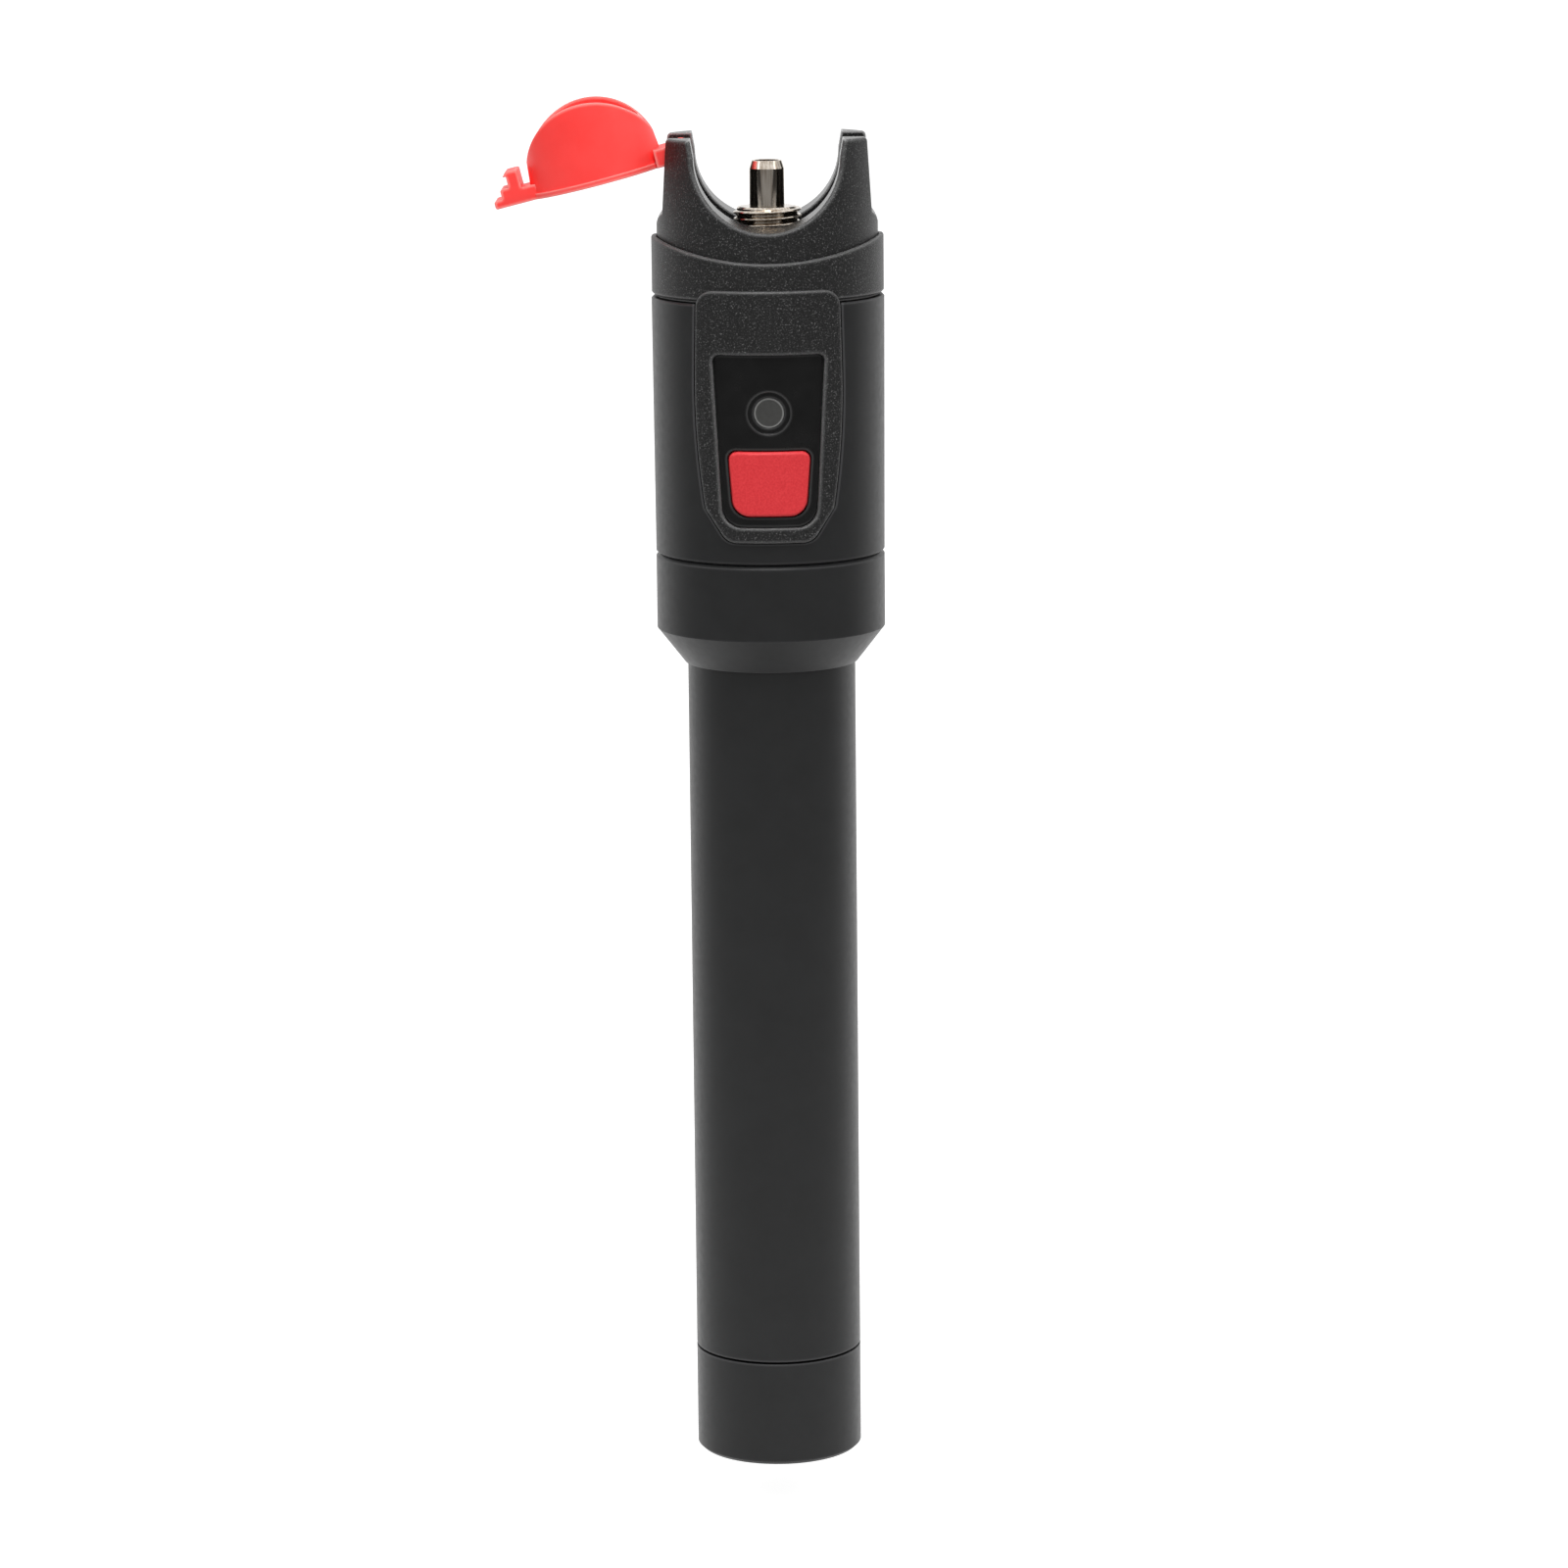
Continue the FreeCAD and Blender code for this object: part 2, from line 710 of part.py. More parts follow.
def make_bezel_collar(doc, s):
    """The top ring and the tongue that frames the window, moulded as one piece."""
    ring_bore = s.fork_radius + s.running_gap
    body = new_body(doc, "bezel_collar")
    chain = tongue_chain(s, 0)
    pad_outline(body, "tongue", mirrored(chain), s.tongue_radius)
    round_corners(body, "tongue_foot", [chain[1][:2]], s.tongue_corner)
    round_corners(body, "tongue_top", [chain[-1][:2]], s.tongue_corner)
    low = s.joint
    high = s.tongue_top + CUT_OVERRUN
    trim_outside(body, "tongue_face", s.tongue_radius, low, high)
    window = window_chain(s, 0)
    cut_outline(body, "window", mirrored(window), s.tongue_radius)
    round_corners(body, "window_foot", [window[1][:2]], s.window_foot_corner)
    round_corners(body, "window_top", [window[2][:2]], s.window_top_corner)
    body.Document.recompute()
    soften(body, "tongue_rim", outer_rim(body.Tip.Shape, s.tongue_radius), s.tongue_edge)
    trim_inside(body, "tongue_back", s.tongue_inner_radius, low, high)
    revolve(body, "ring", [
        (ring_bore, s.collar_foot),
        (s.collar_radius - s.collar_edge, s.collar_foot),
        (s.collar_radius, s.collar_foot + s.collar_edge),
        (s.collar_radius, s.collar_top),
        (ring_bore, s.collar_top),
    ])
    trim_inside(body, "fork_bore", ring_bore, s.collar_foot - s.collar_gap, s.collar_top)
    half = s.collar_radius
    dip_radius = (half * half + s.collar_dip * s.collar_dip) / (2 * s.collar_dip)
    cut_outline(body, "rim_dip", [
        (-half, s.collar_top, left(dip_radius)),
        (0, s.collar_top - s.collar_dip, left(dip_radius)),
        (half, s.collar_top),
        (half, s.collar_top + CUT_OVERRUN),
        (-half, s.collar_top + CUT_OVERRUN),
    ], s.collar_radius * 2, symmetric=True)
    body.Document.recompute()
    rim = outer_rim(body.Tip.Shape, s.collar_radius, s.collar_top - s.collar_dip - s.collar_rim_edge)
    soften(body, "rim_edge", rim, s.collar_rim_edge)
    return body


def outer_rim(shape, radius, above=None):
    """The names of the edges that bound the faces of a given radius about Z, above a height."""
    names = set()
    lowest = -math.inf if above is None else above.value
    for face in shape.Faces:
        surface = face.Surface
        if isinstance(surface, Part.Cylinder) and abs(surface.Radius - radius.value) < 1e-3:
            for edge in face.Edges:
                if edge.BoundBox.ZMin < lowest:
                    continue
                number = next(i for i, other in enumerate(shape.Edges, start=1) if other.isSame(edge))
                names.add(f"Edge{number}")
    return sorted(names)


def window_chain(s, shrink):
    """The +X side of the window opening from its foot up, shrunk by a gap all round."""
    foot = s.joint + s.window_foot_height + shrink
    top = s.joint + s.window_top_height - shrink
    return [
        (0, foot),
        (s.window_foot_half - shrink, foot),
        (s.window_top_half - shrink, top),
        (0, top),
    ]


# ---------------------------------------------------------------- window and button


def button_chain(s, grow):
    """The +X side of the button's outline from its foot up, grown by a gap all round."""
    foot = s.button_foot - grow
    top = s.button_foot + s.button_length + grow
    return [
        (0, foot),
        (s.button_foot_half + grow, foot),
        (s.button_top_half + grow, top),
        (0, top),
    ]


def make_window_panel(doc, s):
    body = new_body(doc, "window_panel")
    chain = window_chain(s, s.slip_gap)
    pad_outline(body, "plate", mirrored(chain), s.panel_radius)
    round_corners(body, "plate_foot", [chain[1][:2]], s.window_foot_corner)
    round_corners(body, "plate_top", [chain[2][:2]], s.window_top_corner)
    low = s.joint
    high = s.joint + s.window_top_height + CUT_OVERRUN
    trim_outside(body, "face", s.panel_radius, low, high)
    back = rectangle(-s.window_top_half, low, s.window_top_half, high)
    cut_outline(body, "back", back, s.panel_back)
    hole = button_chain(s, s.loose_gap / 2)
    cut_outline(body, "button_hole", mirrored(hole), s.panel_radius)
    round_corners(body, "hole_foot", [hole[1][:2]], s.button_foot_corner)
    round_corners(body, "hole_top", [hole[2][:2]], s.button_top_corner)
    light_hole = s.indicator_radius + s.slip_gap
    cut_circle(body, "light_hole", 0, s.indicator, light_hole, s.panel_radius)
    rim = new_sketch(body, "light_rim", offset=s.panel_radius - s.indicator_rim_depth)
    circle(rim, 0, s.indicator, s.indicator_rim_radius)
    extrude(body, rim, s.indicator_rim_depth + CUT_OVERRUN, "Pocket", reverse=True)
    return body


def make_power_button(doc, s):
    body = new_body(doc, "power_button")
    chain = button_chain(s, 0)
    pad_outline(body, "key", mirrored(chain), s.button_front_radius)
    round_corners(body, "key_foot", [chain[1][:2]], s.button_foot_corner)
    round_corners(body, "key_top", [chain[2][:2]], s.button_top_corner)
    low = s.button_foot - CUT_OVERRUN
    high = s.button_foot + s.button_length + CUT_OVERRUN
    trim_outside(body, "face", s.button_front_radius, low, high)
    body.Document.recompute()
    soften(body, "face_rim", outer_rim(body.Tip.Shape, s.button_front_radius), s.button_edge)
    flange_front = s.panel_back - s.slip_gap
    cut_outline(body, "back", rectangle(-s.button_front_radius, low, s.button_front_radius, high),
                flange_front)
    flange_back = flange_front - s.button_flange_thickness
    flange = new_sketch(body, "flange", offset=flange_back)
    outline(flange, mirrored(button_chain(s, s.button_flange_rim)))
    extrude(body, flange, s.button_flange_thickness)
    boss_back = s.board_front + s.switch_thickness + s.switch_plunger_height
    boss = new_sketch(body, "boss", offset=boss_back)
    circle(boss, 0, s.button_middle, s.button_boss_radius)
    extrude(body, boss, flange_back - boss_back)
    return body


def make_indicator(doc, s):
    """The light pipe that carries the status LED's light to the window."""
    body = new_body(doc, "led_light_pipe")
    led_front = s.board_front + s.led_thickness + s.loose_gap
    flange_back = s.panel_back - s.button_flange_thickness
    stem = new_sketch(body, "stem", offset=led_front)
    circle(stem, 0, s.indicator, s.indicator_radius)
    extrude(body, stem, s.panel_radius - s.indicator_rim_depth - led_front)
    flange = new_sketch(body, "flange", offset=flange_back)
    circle(flange, 0, s.indicator, s.indicator_flange_radius)
    extrude(body, flange, s.panel_back - s.slip_gap - flange_back)
    return body


# ---------------------------------------------------------------- electronics


def make_circuit_board(doc, s):
    body = new_body(doc, "circuit_board")
    back = s.board_front - s.board_thickness
    sketch = new_sketch(body, "board", offset=back)
    half = s.board_half_width
    outline(sketch, rectangle(-half, s.board_foot, half, s.board_top))
    for side in (-1, 1):
        hole_radius = s.screw_shank_radius + s.running_gap
        circle(sketch, side * s.screw_across, s.screw_height, hole_radius)
    extrude(body, sketch, s.board_thickness)
    return body


def on_board(doc, name, s, spans, height):
    """A rectangular component soldered to the board's front, centred at a height."""
    width, thickness, tall = spans
    base = (-width / 2, -s.board_front - thickness, height - tall / 2)
    return block(doc, name, spans, base)


def make_switch(doc, s):
    """The push switch: a case with a well in front, and the plunger that moves into it."""
    spans = (s.switch_width, s.switch_thickness, s.switch_width)
    case = on_board(doc, "switch_case", s, spans, s.button_middle)
    mouth = (0, -s.board_front - s.switch_thickness, s.button_middle)
    well_radius = s.switch_plunger_radius + s.slip_gap
    well = cylinder(doc, "switch_well", well_radius, s.switch_well_depth, mouth, Vector(0, 1, 0))
    body = doc.addObject("Part::Cut", "switch_body")
    body.Base = case
    body.Tool = well
    plunger = cylinder(doc, "switch_plunger", s.switch_plunger_radius, s.switch_plunger_height,
                       mouth, Vector(0, -1, 0))
    return [body, plunger]


def make_board_parts(doc, s):
    led = (s.led_width, s.led_thickness, s.led_height)
    chip = (s.chip_width, s.chip_thickness, s.chip_height)
    return [
        on_board(doc, "status_led", s, led, s.indicator),
        on_board(doc, "driver_chip", s, chip, s.indicator + s.chip_rise),
    ]


def make_board_screws(doc, s):
    front = -s.board_front - s.screw_head_height
    base = (s.screw_across, front, s.screw_height)
    inward = Vector(0, 1, 0)
    head = cylinder(doc, "screw_head", s.screw_head_radius, s.screw_head_height, base, inward)
    reach = s.screw_head_height + s.screw_shank_length
    shank = cylinder(doc, "screw_shank", s.screw_shank_radius, reach, base, inward)
    screw = doc.addObject("Part::Fuse", "screw")
    screw.Base = head
    screw.Tool = shank
    twin = doc.addObject("Part::Mirroring", "screw_twin")
    twin.Source = screw
    twin.Normal = Vector(1, 0, 0)
    pair = doc.addObject("Part::Compound", "board_screws")
    pair.Links = [screw, twin]
    return pair


def make_positive_contact(doc, s):
    top = s.stack_top + s.positive_contact_thickness
    rivet_top = s.stack_top + s.positive_rivet_height
    return turned(doc, "positive_contact", [
        (0, s.stack_top),
        (s.positive_contact_radius, s.stack_top),
        (s.positive_contact_radius, top),
        (s.positive_rivet_radius, top),
        (s.positive_rivet_radius, rivet_top),
        (0, rivet_top),
    ])


def make_inner_chassis(doc, s):
    """The carrier for the board and the laser: a round base, two rails and a cradle."""
    contact_top = s.stack_top + s.positive_contact_thickness
    base_top = s.chassis_foot + s.chassis_base_height
    contact_radius = s.positive_contact_radius + s.running_gap
    rivet_radius = s.positive_rivet_radius + s.slip_gap
    board_back = s.board_front - s.board_thickness
    body = turned(doc, "inner_chassis", [
        (contact_radius, s.chassis_foot),
        (s.chassis_base_radius, s.chassis_foot),
        (s.chassis_base_radius, base_top),
        (rivet_radius, base_top),
        (rivet_radius, contact_top),
        (contact_radius, contact_top),
    ])
    rails = new_sketch(body, "rails", "XY_Plane", base_top)
    for side in (-1, 1):
        inner, outer = side * s.rail_inner_half, side * s.rail_outer_half
        outline(rails, rectangle(inner, -board_back, outer, s.rail_back))
    extrude(body, rails, s.chassis_top - base_top)
    cradle = new_sketch(body, "cradle", "XY_Plane", s.joint + s.cradle_foot_height)
    half = s.rail_inner_half
    outline(cradle, rectangle(-half, -s.cradle_front, half, s.rail_back + s.rail_outer_half
                              - s.rail_inner_half))
    extrude(body, cradle, s.cradle_length)
    bosses = new_sketch(body, "bosses", "XY_Plane", s.screw_height - s.screw_boss_length / 2)
    for side in (-1, 1):
        inner, outer = side * s.screw_boss_inner, side * s.rail_outer_half
        outline(bosses, rectangle(inner, -board_back, outer, s.screw_boss_depth - board_back))
    extrude(body, bosses, s.screw_boss_length)
    housing_radius = s.housing_radius + s.slip_gap
    trim_inside(body, "housing_bore", housing_radius, s.housing_foot, s.chassis_top)
    screws = new_sketch(body, "screw_holes", offset=s.board_front - s.board_thickness)
    for side in (-1, 1):
        hole_radius = s.screw_shank_radius + s.slip_gap
        circle(screws, side * s.screw_across, s.screw_height, hole_radius)
    extrude(body, screws, s.screw_shank_length, "Pocket")
    return body


# ---------------------------------------------------------------- optics


def make_laser_housing(doc, s):
    """The turned brass barrel that lines the laser up with the connector port."""
    stud_seat = s.stud_foot - s.running_gap
    stud_bore = s.port_stud_radius + s.slip_gap
    lens_bore = s.housing_lens_bore_radius
    lens_seat = stud_seat - s.housing_throat_length
    return turned(doc, "laser_housing", [
        (lens_bore, s.housing_foot),
        (s.housing_radius, s.housing_foot),
        (s.housing_radius, s.housing_top),
        (stud_bore, s.housing_top),
        (stud_bore, stud_seat),
        (s.housing_throat_radius, stud_seat),
        (s.housing_throat_radius, lens_seat),
        (lens_bore, lens_seat),
    ])


def make_focus_lens(doc, s):
    radius = s.housing_lens_bore_radius - s.slip_gap
    top = s.stud_foot - s.running_gap - s.housing_throat_length - s.slip_gap
    foot = top - s.lens_thickness
    crown = (radius * radius + s.lens_sagitta * s.lens_sagitta) / (2 * s.lens_sagitta)
    return turned(doc, "focus_lens", [
        (0, foot),
        (radius, foot),
        (radius, top - s.lens_sagitta, left(crown)),
        (0, top),
    ])


def make_laser_diode(doc, s):
    """A can-type diode with three leads, pressed into the foot of the housing."""
    foot = s.housing_foot
    flange_top = foot + s.diode_flange_height
    body = turned(doc, "laser_diode", [
        (0, foot),
        (s.diode_flange_radius, foot),
        (s.diode_flange_radius, flange_top),
        (s.diode_can_radius, flange_top),
        (s.diode_can_radius, flange_top + s.diode_can_height),
        (0, flange_top + s.diode_can_height),
    ])
    leads = new_sketch(body, "leads", "XY_Plane", foot - s.diode_lead_length)
    for side in (-1, 0, 1):
        back = abs(side) * s.diode_lead_spread
        circle(leads, side * s.diode_lead_spread, back, s.diode_lead_radius)
    extrude(body, leads, s.diode_lead_length + s.slip_gap)
    return body


def make_connector_port(doc, s):
    """The threaded stud and barrel that take a fibre connector."""
    sleeve_bore = s.ferrule_radius + s.sleeve_wall + s.slip_gap
    nose_foot = s.port_top - s.port_nose_length
    lip_foot = s.port_top - s.port_lip
    shoulder = s.port_top - s.port_lip - s.slip_gap - s.ferrule_sleeve_length
    return turned(doc, "connector_port", [
        (s.port_aperture_radius, s.stud_foot),
        (s.port_stud_radius, s.stud_foot),
        (s.port_stud_radius, s.stud_top - s.port_stud_edge),
        (s.port_stud_radius - s.port_stud_edge, s.stud_top),
        (s.port_barrel_radius, s.stud_top),
        (s.port_barrel_radius, nose_foot),
        (s.port_nose_radius, s.port_top),
        (s.port_mouth_radius, s.port_top),
        (s.port_mouth_radius, lip_foot),
        (sleeve_bore, lip_foot),
        (sleeve_bore, shoulder),
        (s.port_aperture_radius, shoulder),
    ])


def make_ferrule_sleeve(doc, s):
    """The split ceramic sleeve inside the port."""
    top = s.port_top - s.port_lip - s.slip_gap
    foot = top - s.ferrule_sleeve_length
    outer = s.ferrule_radius + s.sleeve_wall
    body = turned(doc, "ferrule_sleeve", rectangle(s.ferrule_radius, foot, outer, top))
    half = s.sleeve_slit / 2
    slit = new_sketch(body, "slit", "XY_Plane", foot)
    outline(slit, rectangle(-half, as_size(0), half, outer * 2))
    extrude(body, slit, top - foot, "Pocket", reverse=True)
    return body


# ---------------------------------------------------------------- fork head and cap


def horn_side(s):
    """The region outside the +X horn: a tapered flat that swells into the round base."""
    beyond = s.fork_radius + CUT_OVERRUN
    root = s.saddle + s.horn_root_rise
    shoulder = root - s.horn_shoulder_drop
    over = s.horn_top + CUT_OVERRUN
    return [
        (s.horn_top_half, over),
        (s.horn_top_half, s.horn_top),
        (s.horn_root_half, root, right(s.horn_shoulder_radius)),
        (s.fork_radius + s.slip_gap, shoulder),
        (beyond, shoulder),
        (beyond, over),
    ]


def stop_height(s, across):
    """Height of the open cap's outer face over a place on the -X side."""
    tilt = s.cap_open_angle - 180
    return s.hinge_height - s.cap_roof / cosine(tilt) + (s.hinge_across - across) * tangent(tilt)


def make_fork_head(doc, s):
    body = turned(doc, "fork_head", [
        (s.port_stud_radius + s.slip_gap, s.floor_underside),
        (s.fork_bore_radius, s.floor_underside),
        (s.fork_bore_radius, s.collar_foot - s.fork_neck_height),
        (s.fork_neck_radius, s.collar_foot - s.fork_neck_height),
        (s.fork_neck_radius, s.collar_foot),
        (s.fork_radius, s.collar_foot),
        (s.fork_radius, s.horn_top),
        (s.port_stud_radius + s.slip_gap, s.horn_top),
    ])
    through = s.fork_radius * 3
    side = horn_side(s)
    cut_outline(body, "right_side", side, through, symmetric=True)
    other = [(-as_size(corner[0]), corner[1]) for corner in side]
    other[2] = (*other[2], left(s.horn_shoulder_radius))
    cut_outline(body, "left_side", other, through, symmetric=True)
    over = s.horn_top + CUT_OVERRUN
    cut_outline(body, "saddle", mirrored([
        (0, s.saddle, left(s.saddle_radius)),
        (s.saddle_radius, s.saddle + s.saddle_radius),
        (s.horn_mouth_half, s.horn_top),
        (s.horn_mouth_half, over),
    ]), through, symmetric=True)
    tips = [(s.horn_top_half, s.horn_top)]
    round_corners(body, "horn_tips", tips, s.horn_corner)
    channel = new_sketch(body, "channel", "XY_Plane", s.saddle)
    length, width = s.channel_half_length, s.channel_half_width
    outline(channel, rectangle(-length, -width, length, width))
    extrude(body, channel, s.horn_height + CUT_OVERRUN, "Pocket", reverse=True)
    cut_cap_room(body, s)
    body.Document.recompute()
    rims = outer_rim(body.Tip.Shape, s.fork_radius, s.collar_top)
    soften(body, "horn_rim", rims, s.horn_edge)
    return body


def cut_cap_room(body, s):
    """Clears the horns for the cap's hook, its swing against the stop, and its pin."""
    over = s.horn_top + CUT_OVERRUN
    beyond = s.fork_radius + CUT_OVERRUN
    inner = s.channel_half_length - s.slip_gap
    width = 2 * s.channel_half_width
    cut_outline(body, "latch_web", rectangle(inner, s.horn_top - s.latch_web_drop, beyond, over),
                width, symmetric=True)
    cut_outline(body, "stop_web", [
        (-inner, over),
        (-beyond, over),
        (-beyond, stop_height(s, beyond) - s.hinge_stop_gap),
        (-inner, stop_height(s, inner) - s.hinge_stop_gap),
    ], width, symmetric=True)
    pin_hole = s.pin_radius + s.slip_gap / 2
    cut_circle(body, "pin_hole", -s.hinge_across, s.hinge_height, pin_hole,
               2 * (s.pin_half_length + s.slip_gap), symmetric=True)


def make_hinge_pin(doc, s):
    base = (-s.hinge_across, s.pin_half_length, s.hinge_height)
    return cylinder(doc, "hinge_pin", s.pin_radius, 2 * s.pin_half_length, base, Vector(0, -1, 0))


def make_dust_cap(doc, s):
    """The hinged cap, drawn shut about its hinge axis and then swung open."""
    body = new_body(doc, "dust_cap")
    add_cap_skirt(body, s)
    add_cap_plate(body, s)
    add_cap_arm(body, s)
    add_cap_hook(body, s)
    body.Placement = Placement(Vector(), Rotation(Vector(0, -1, 0), s.cap_open_angle.value))
    body.setExpression("Placement.Rotation.Angle", s.cap_open_angle.text)
    bind_base(body, (-s.hinge_across, 0, s.hinge_height))
    return body


def add_cap_skirt(body, s):
    """The tapering oval bowl, hollowed and trimmed to the curve of the saddle."""
    top = s.cap_roof - s.cap_plate_thickness / 2
    foot = s.saddle - s.hinge_height
    skirt_loft(body, s, "Additive", top, foot, 0)
    skirt_loft(body, s, "Subtractive", top, foot, s.skirt_wall)
    radius = s.saddle_radius - s.skirt_saddle_gap
    curve_foot = foot + s.skirt_saddle_gap
    middle = s.hinge_across
    beyond = s.horn_mouth_half + CUT_OVERRUN
    deep = foot - CUT_OVERRUN
    spring_line = curve_foot + radius
    cut_outline(body, "saddle_trim", [
        (middle - beyond, deep),
        (middle + beyond, deep),
        (middle + beyond, spring_line),
        (middle + radius, spring_line, right(radius)),
        (middle, curve_foot, right(radius)),
        (middle - radius, spring_line),
        (middle - beyond, spring_line),
    ], s.cap_half_length * 3, symmetric=True)


def skirt_loft(body, s, kind, top, foot, inset):
    """One side of the skirt's wall, between its ovals at the plate and at the saddle."""
    inward = s.cap_rim_inset + inset
    upper = new_sketch(body, f"{kind}_upper", "XY_Plane", top)
    oval(upper, s.hinge_across, s.cap_half_length - inward, s.cap_narrowing)
    lower = new_sketch(body, f"{kind}_lower", "XY_Plane", foot)
    oval(lower, s.hinge_across, s.skirt_foot_half_length - inset, s.skirt_foot_narrowing)
    loft = body.newObject(f"PartDesign::{kind}Loft", f"{body.Name}_{kind}")
    loft.Profile = upper
    loft.Sections = [lower]


def add_cap_plate(body, s):
    """The cap's oval roof."""
    sketch = new_sketch(body, "plate", "XY_Plane", s.cap_roof - s.cap_plate_thickness)
    oval(sketch, s.hinge_across, s.cap_half_length, s.cap_narrowing)
    extrude(body, sketch, s.cap_plate_thickness)


def add_cap_arm(body, s):
    """The arm and the knuckle that turns on the hinge pin."""
    width = 2 * s.cap_arm_half_width
    foot = s.cap_roof - s.cap_arm_depth
    reach = s.hinge_across - s.cap_half_length + s.skirt_wall
    pad_outline(body, "arm", rectangle(as_size(0), foot, reach, s.cap_roof), width, symmetric=True)
    knuckle = new_sketch(body, "knuckle")
    circle(knuckle, 0, 0, s.knuckle_radius)
    extrude(body, knuckle, width, symmetric=True)
    pin_bore = s.pin_radius + s.slip_gap
    cut_circle(body, "pin_bore", 0, 0, pin_bore, width * 2, symmetric=True)


def add_cap_hook(body, s):
    """The thumb tab and latching hook opposite the hinge."""
    middle = s.hinge_across
    root = middle + s.cap_half_length - s.skirt_wall
    tab = s.cap_roof - s.nose_thickness
    step = s.cap_roof - s.hook_step_drop
    barb = s.cap_roof - s.hook_barb_drop
    tip = s.cap_roof - s.hook_drop
    floor = s.cap_roof - s.hook_root_drop
    pad_outline(body, "hook", [
        (root, s.cap_roof),
        (root, floor),
        (middle + s.hook_inner_reach, floor),
        (middle + s.hook_inner_reach, tip),
        (middle + s.hook_stem_reach, tip),
        (middle + s.hook_barb_reach, barb),
        (middle + s.hook_stem_reach, barb),
        (middle + s.hook_stem_reach, step),
        (middle + s.hook_step_reach, step),
        (middle + s.hook_step_reach, tab),
        (middle + s.nose_reach, tab),
        (middle + s.nose_reach, s.cap_roof),
    ], 2 * s.hook_half_width, symmetric=True)
    round_corners(body, "hook_corners", [
        (middle + s.hook_inner_reach, tip),
        (middle + s.hook_stem_reach, tip),
        (middle + s.hook_step_reach, step),
        (middle + s.nose_reach, tab),
        (middle + s.nose_reach, s.cap_roof),
    ], s.hook_corner)


# ---------------------------------------------------------------- assembly


def make_pieces(doc, s):
    """Builds every separate piece and returns the objects to be written."""
    pieces = [
        make_tail_cap(doc, s),
        make_tail_o_ring(doc, s),
        make_tail_contact(doc, s),
        make_tail_spring(doc, s),
        make_cell(doc, s, "lower_cell", s.lower_cell_foot),
        make_cell(doc, s, "upper_cell", s.upper_cell_foot),
        make_battery_tube(doc, s),
        make_reducer_ring(doc, s),
        make_head_sleeve(doc, s),
        make_bezel_collar(doc, s),
        make_window_panel(doc, s),
        make_power_button(doc, s),
        make_indicator(doc, s),
        make_circuit_board(doc, s),
        make_board_screws(doc, s),
        make_positive_contact(doc, s),
        make_inner_chassis(doc, s),
        make_laser_housing(doc, s),
        make_focus_lens(doc, s),
        make_laser_diode(doc, s),
        make_connector_port(doc, s),
        make_ferrule_sleeve(doc, s),
        make_fork_head(doc, s),
        make_hinge_pin(doc, s),
        make_dust_cap(doc, s),
    ]
    return pieces + make_switch(doc, s) + make_board_parts(doc, s)


def check(doc, pieces):
    """Stops if any object failed or any piece has no sound shape."""
    for item in doc.Objects:
        if "Invalid" in item.State or "Error" in item.State:
            raise RuntimeError(f"{item.Name} failed: {item.State}")
    for piece in pieces:
        if piece.Shape.isNull() or not piece.Shape.isValid() or not piece.Shape.Solids:
            raise RuntimeError(f"{piece.Label} has no valid solid")


def main():
    doc = FreeCAD.newDocument("fault_locator")
    s = make_sheet(doc)
    add_levels(s)
    pieces = make_pieces(doc, s)
    doc.recompute()
    check(doc, pieces)
    os.makedirs("parts", exist_ok=True)
    for piece in pieces:
        piece.Shape.exportStep(os.path.join("parts", f"{piece.Label}.step"))


main()
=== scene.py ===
"""Finishes, threaded port, studio and camera for the pen-type visual fault locator.

Lengths are metres, apart from those that are said to be millimetres.
"""

import json
import math

import bpy
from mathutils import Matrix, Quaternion, Vector


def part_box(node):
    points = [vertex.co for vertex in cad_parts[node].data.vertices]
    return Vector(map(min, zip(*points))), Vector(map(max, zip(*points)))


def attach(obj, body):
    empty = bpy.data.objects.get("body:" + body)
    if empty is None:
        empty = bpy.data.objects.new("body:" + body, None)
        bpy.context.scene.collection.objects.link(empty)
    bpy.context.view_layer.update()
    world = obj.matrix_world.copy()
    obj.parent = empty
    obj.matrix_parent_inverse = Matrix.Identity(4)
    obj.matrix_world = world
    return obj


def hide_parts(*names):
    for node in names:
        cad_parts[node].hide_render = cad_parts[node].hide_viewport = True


MM = 0.001

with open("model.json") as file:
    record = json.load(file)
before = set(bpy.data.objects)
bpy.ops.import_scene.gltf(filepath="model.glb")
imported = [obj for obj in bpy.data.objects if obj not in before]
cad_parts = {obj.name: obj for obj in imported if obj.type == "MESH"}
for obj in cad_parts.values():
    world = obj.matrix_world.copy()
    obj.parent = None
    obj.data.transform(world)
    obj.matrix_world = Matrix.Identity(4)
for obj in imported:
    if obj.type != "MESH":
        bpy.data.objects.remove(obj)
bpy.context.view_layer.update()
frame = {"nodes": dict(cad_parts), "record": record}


# ---------------------------------------------------------------- camera

TILT = math.radians(10.8)
DISTANCE = 0.638
LOOK_AT = Vector((0.0013, 0.0, 0.0809))
ROLL = math.radians(-0.57)
LENS_MM = 123.75
SENSOR_MM = 36.0


def make_camera():
    camera = bpy.data.objects.new("camera", bpy.data.cameras.new("camera"))
    bpy.context.scene.collection.objects.link(camera)
    camera.data.lens = LENS_MM
    camera.data.sensor_width = SENSOR_MM
    away = Vector((0.0, -math.cos(TILT), math.sin(TILT)))
    camera.location = LOOK_AT + away * DISTANCE
    camera.rotation_mode = "QUATERNION"
    camera.rotation_quaternion = (-away).to_track_quat("-Z", "Y") @ Quaternion((0.0, 0.0, 1.0), ROLL)
    bpy.context.scene.camera = camera


make_camera()


# ---------------------------------------------------------------- materials

# Part of a noise's range over which a finish varies
NOISE_SPAN = (0.3, 0.7)
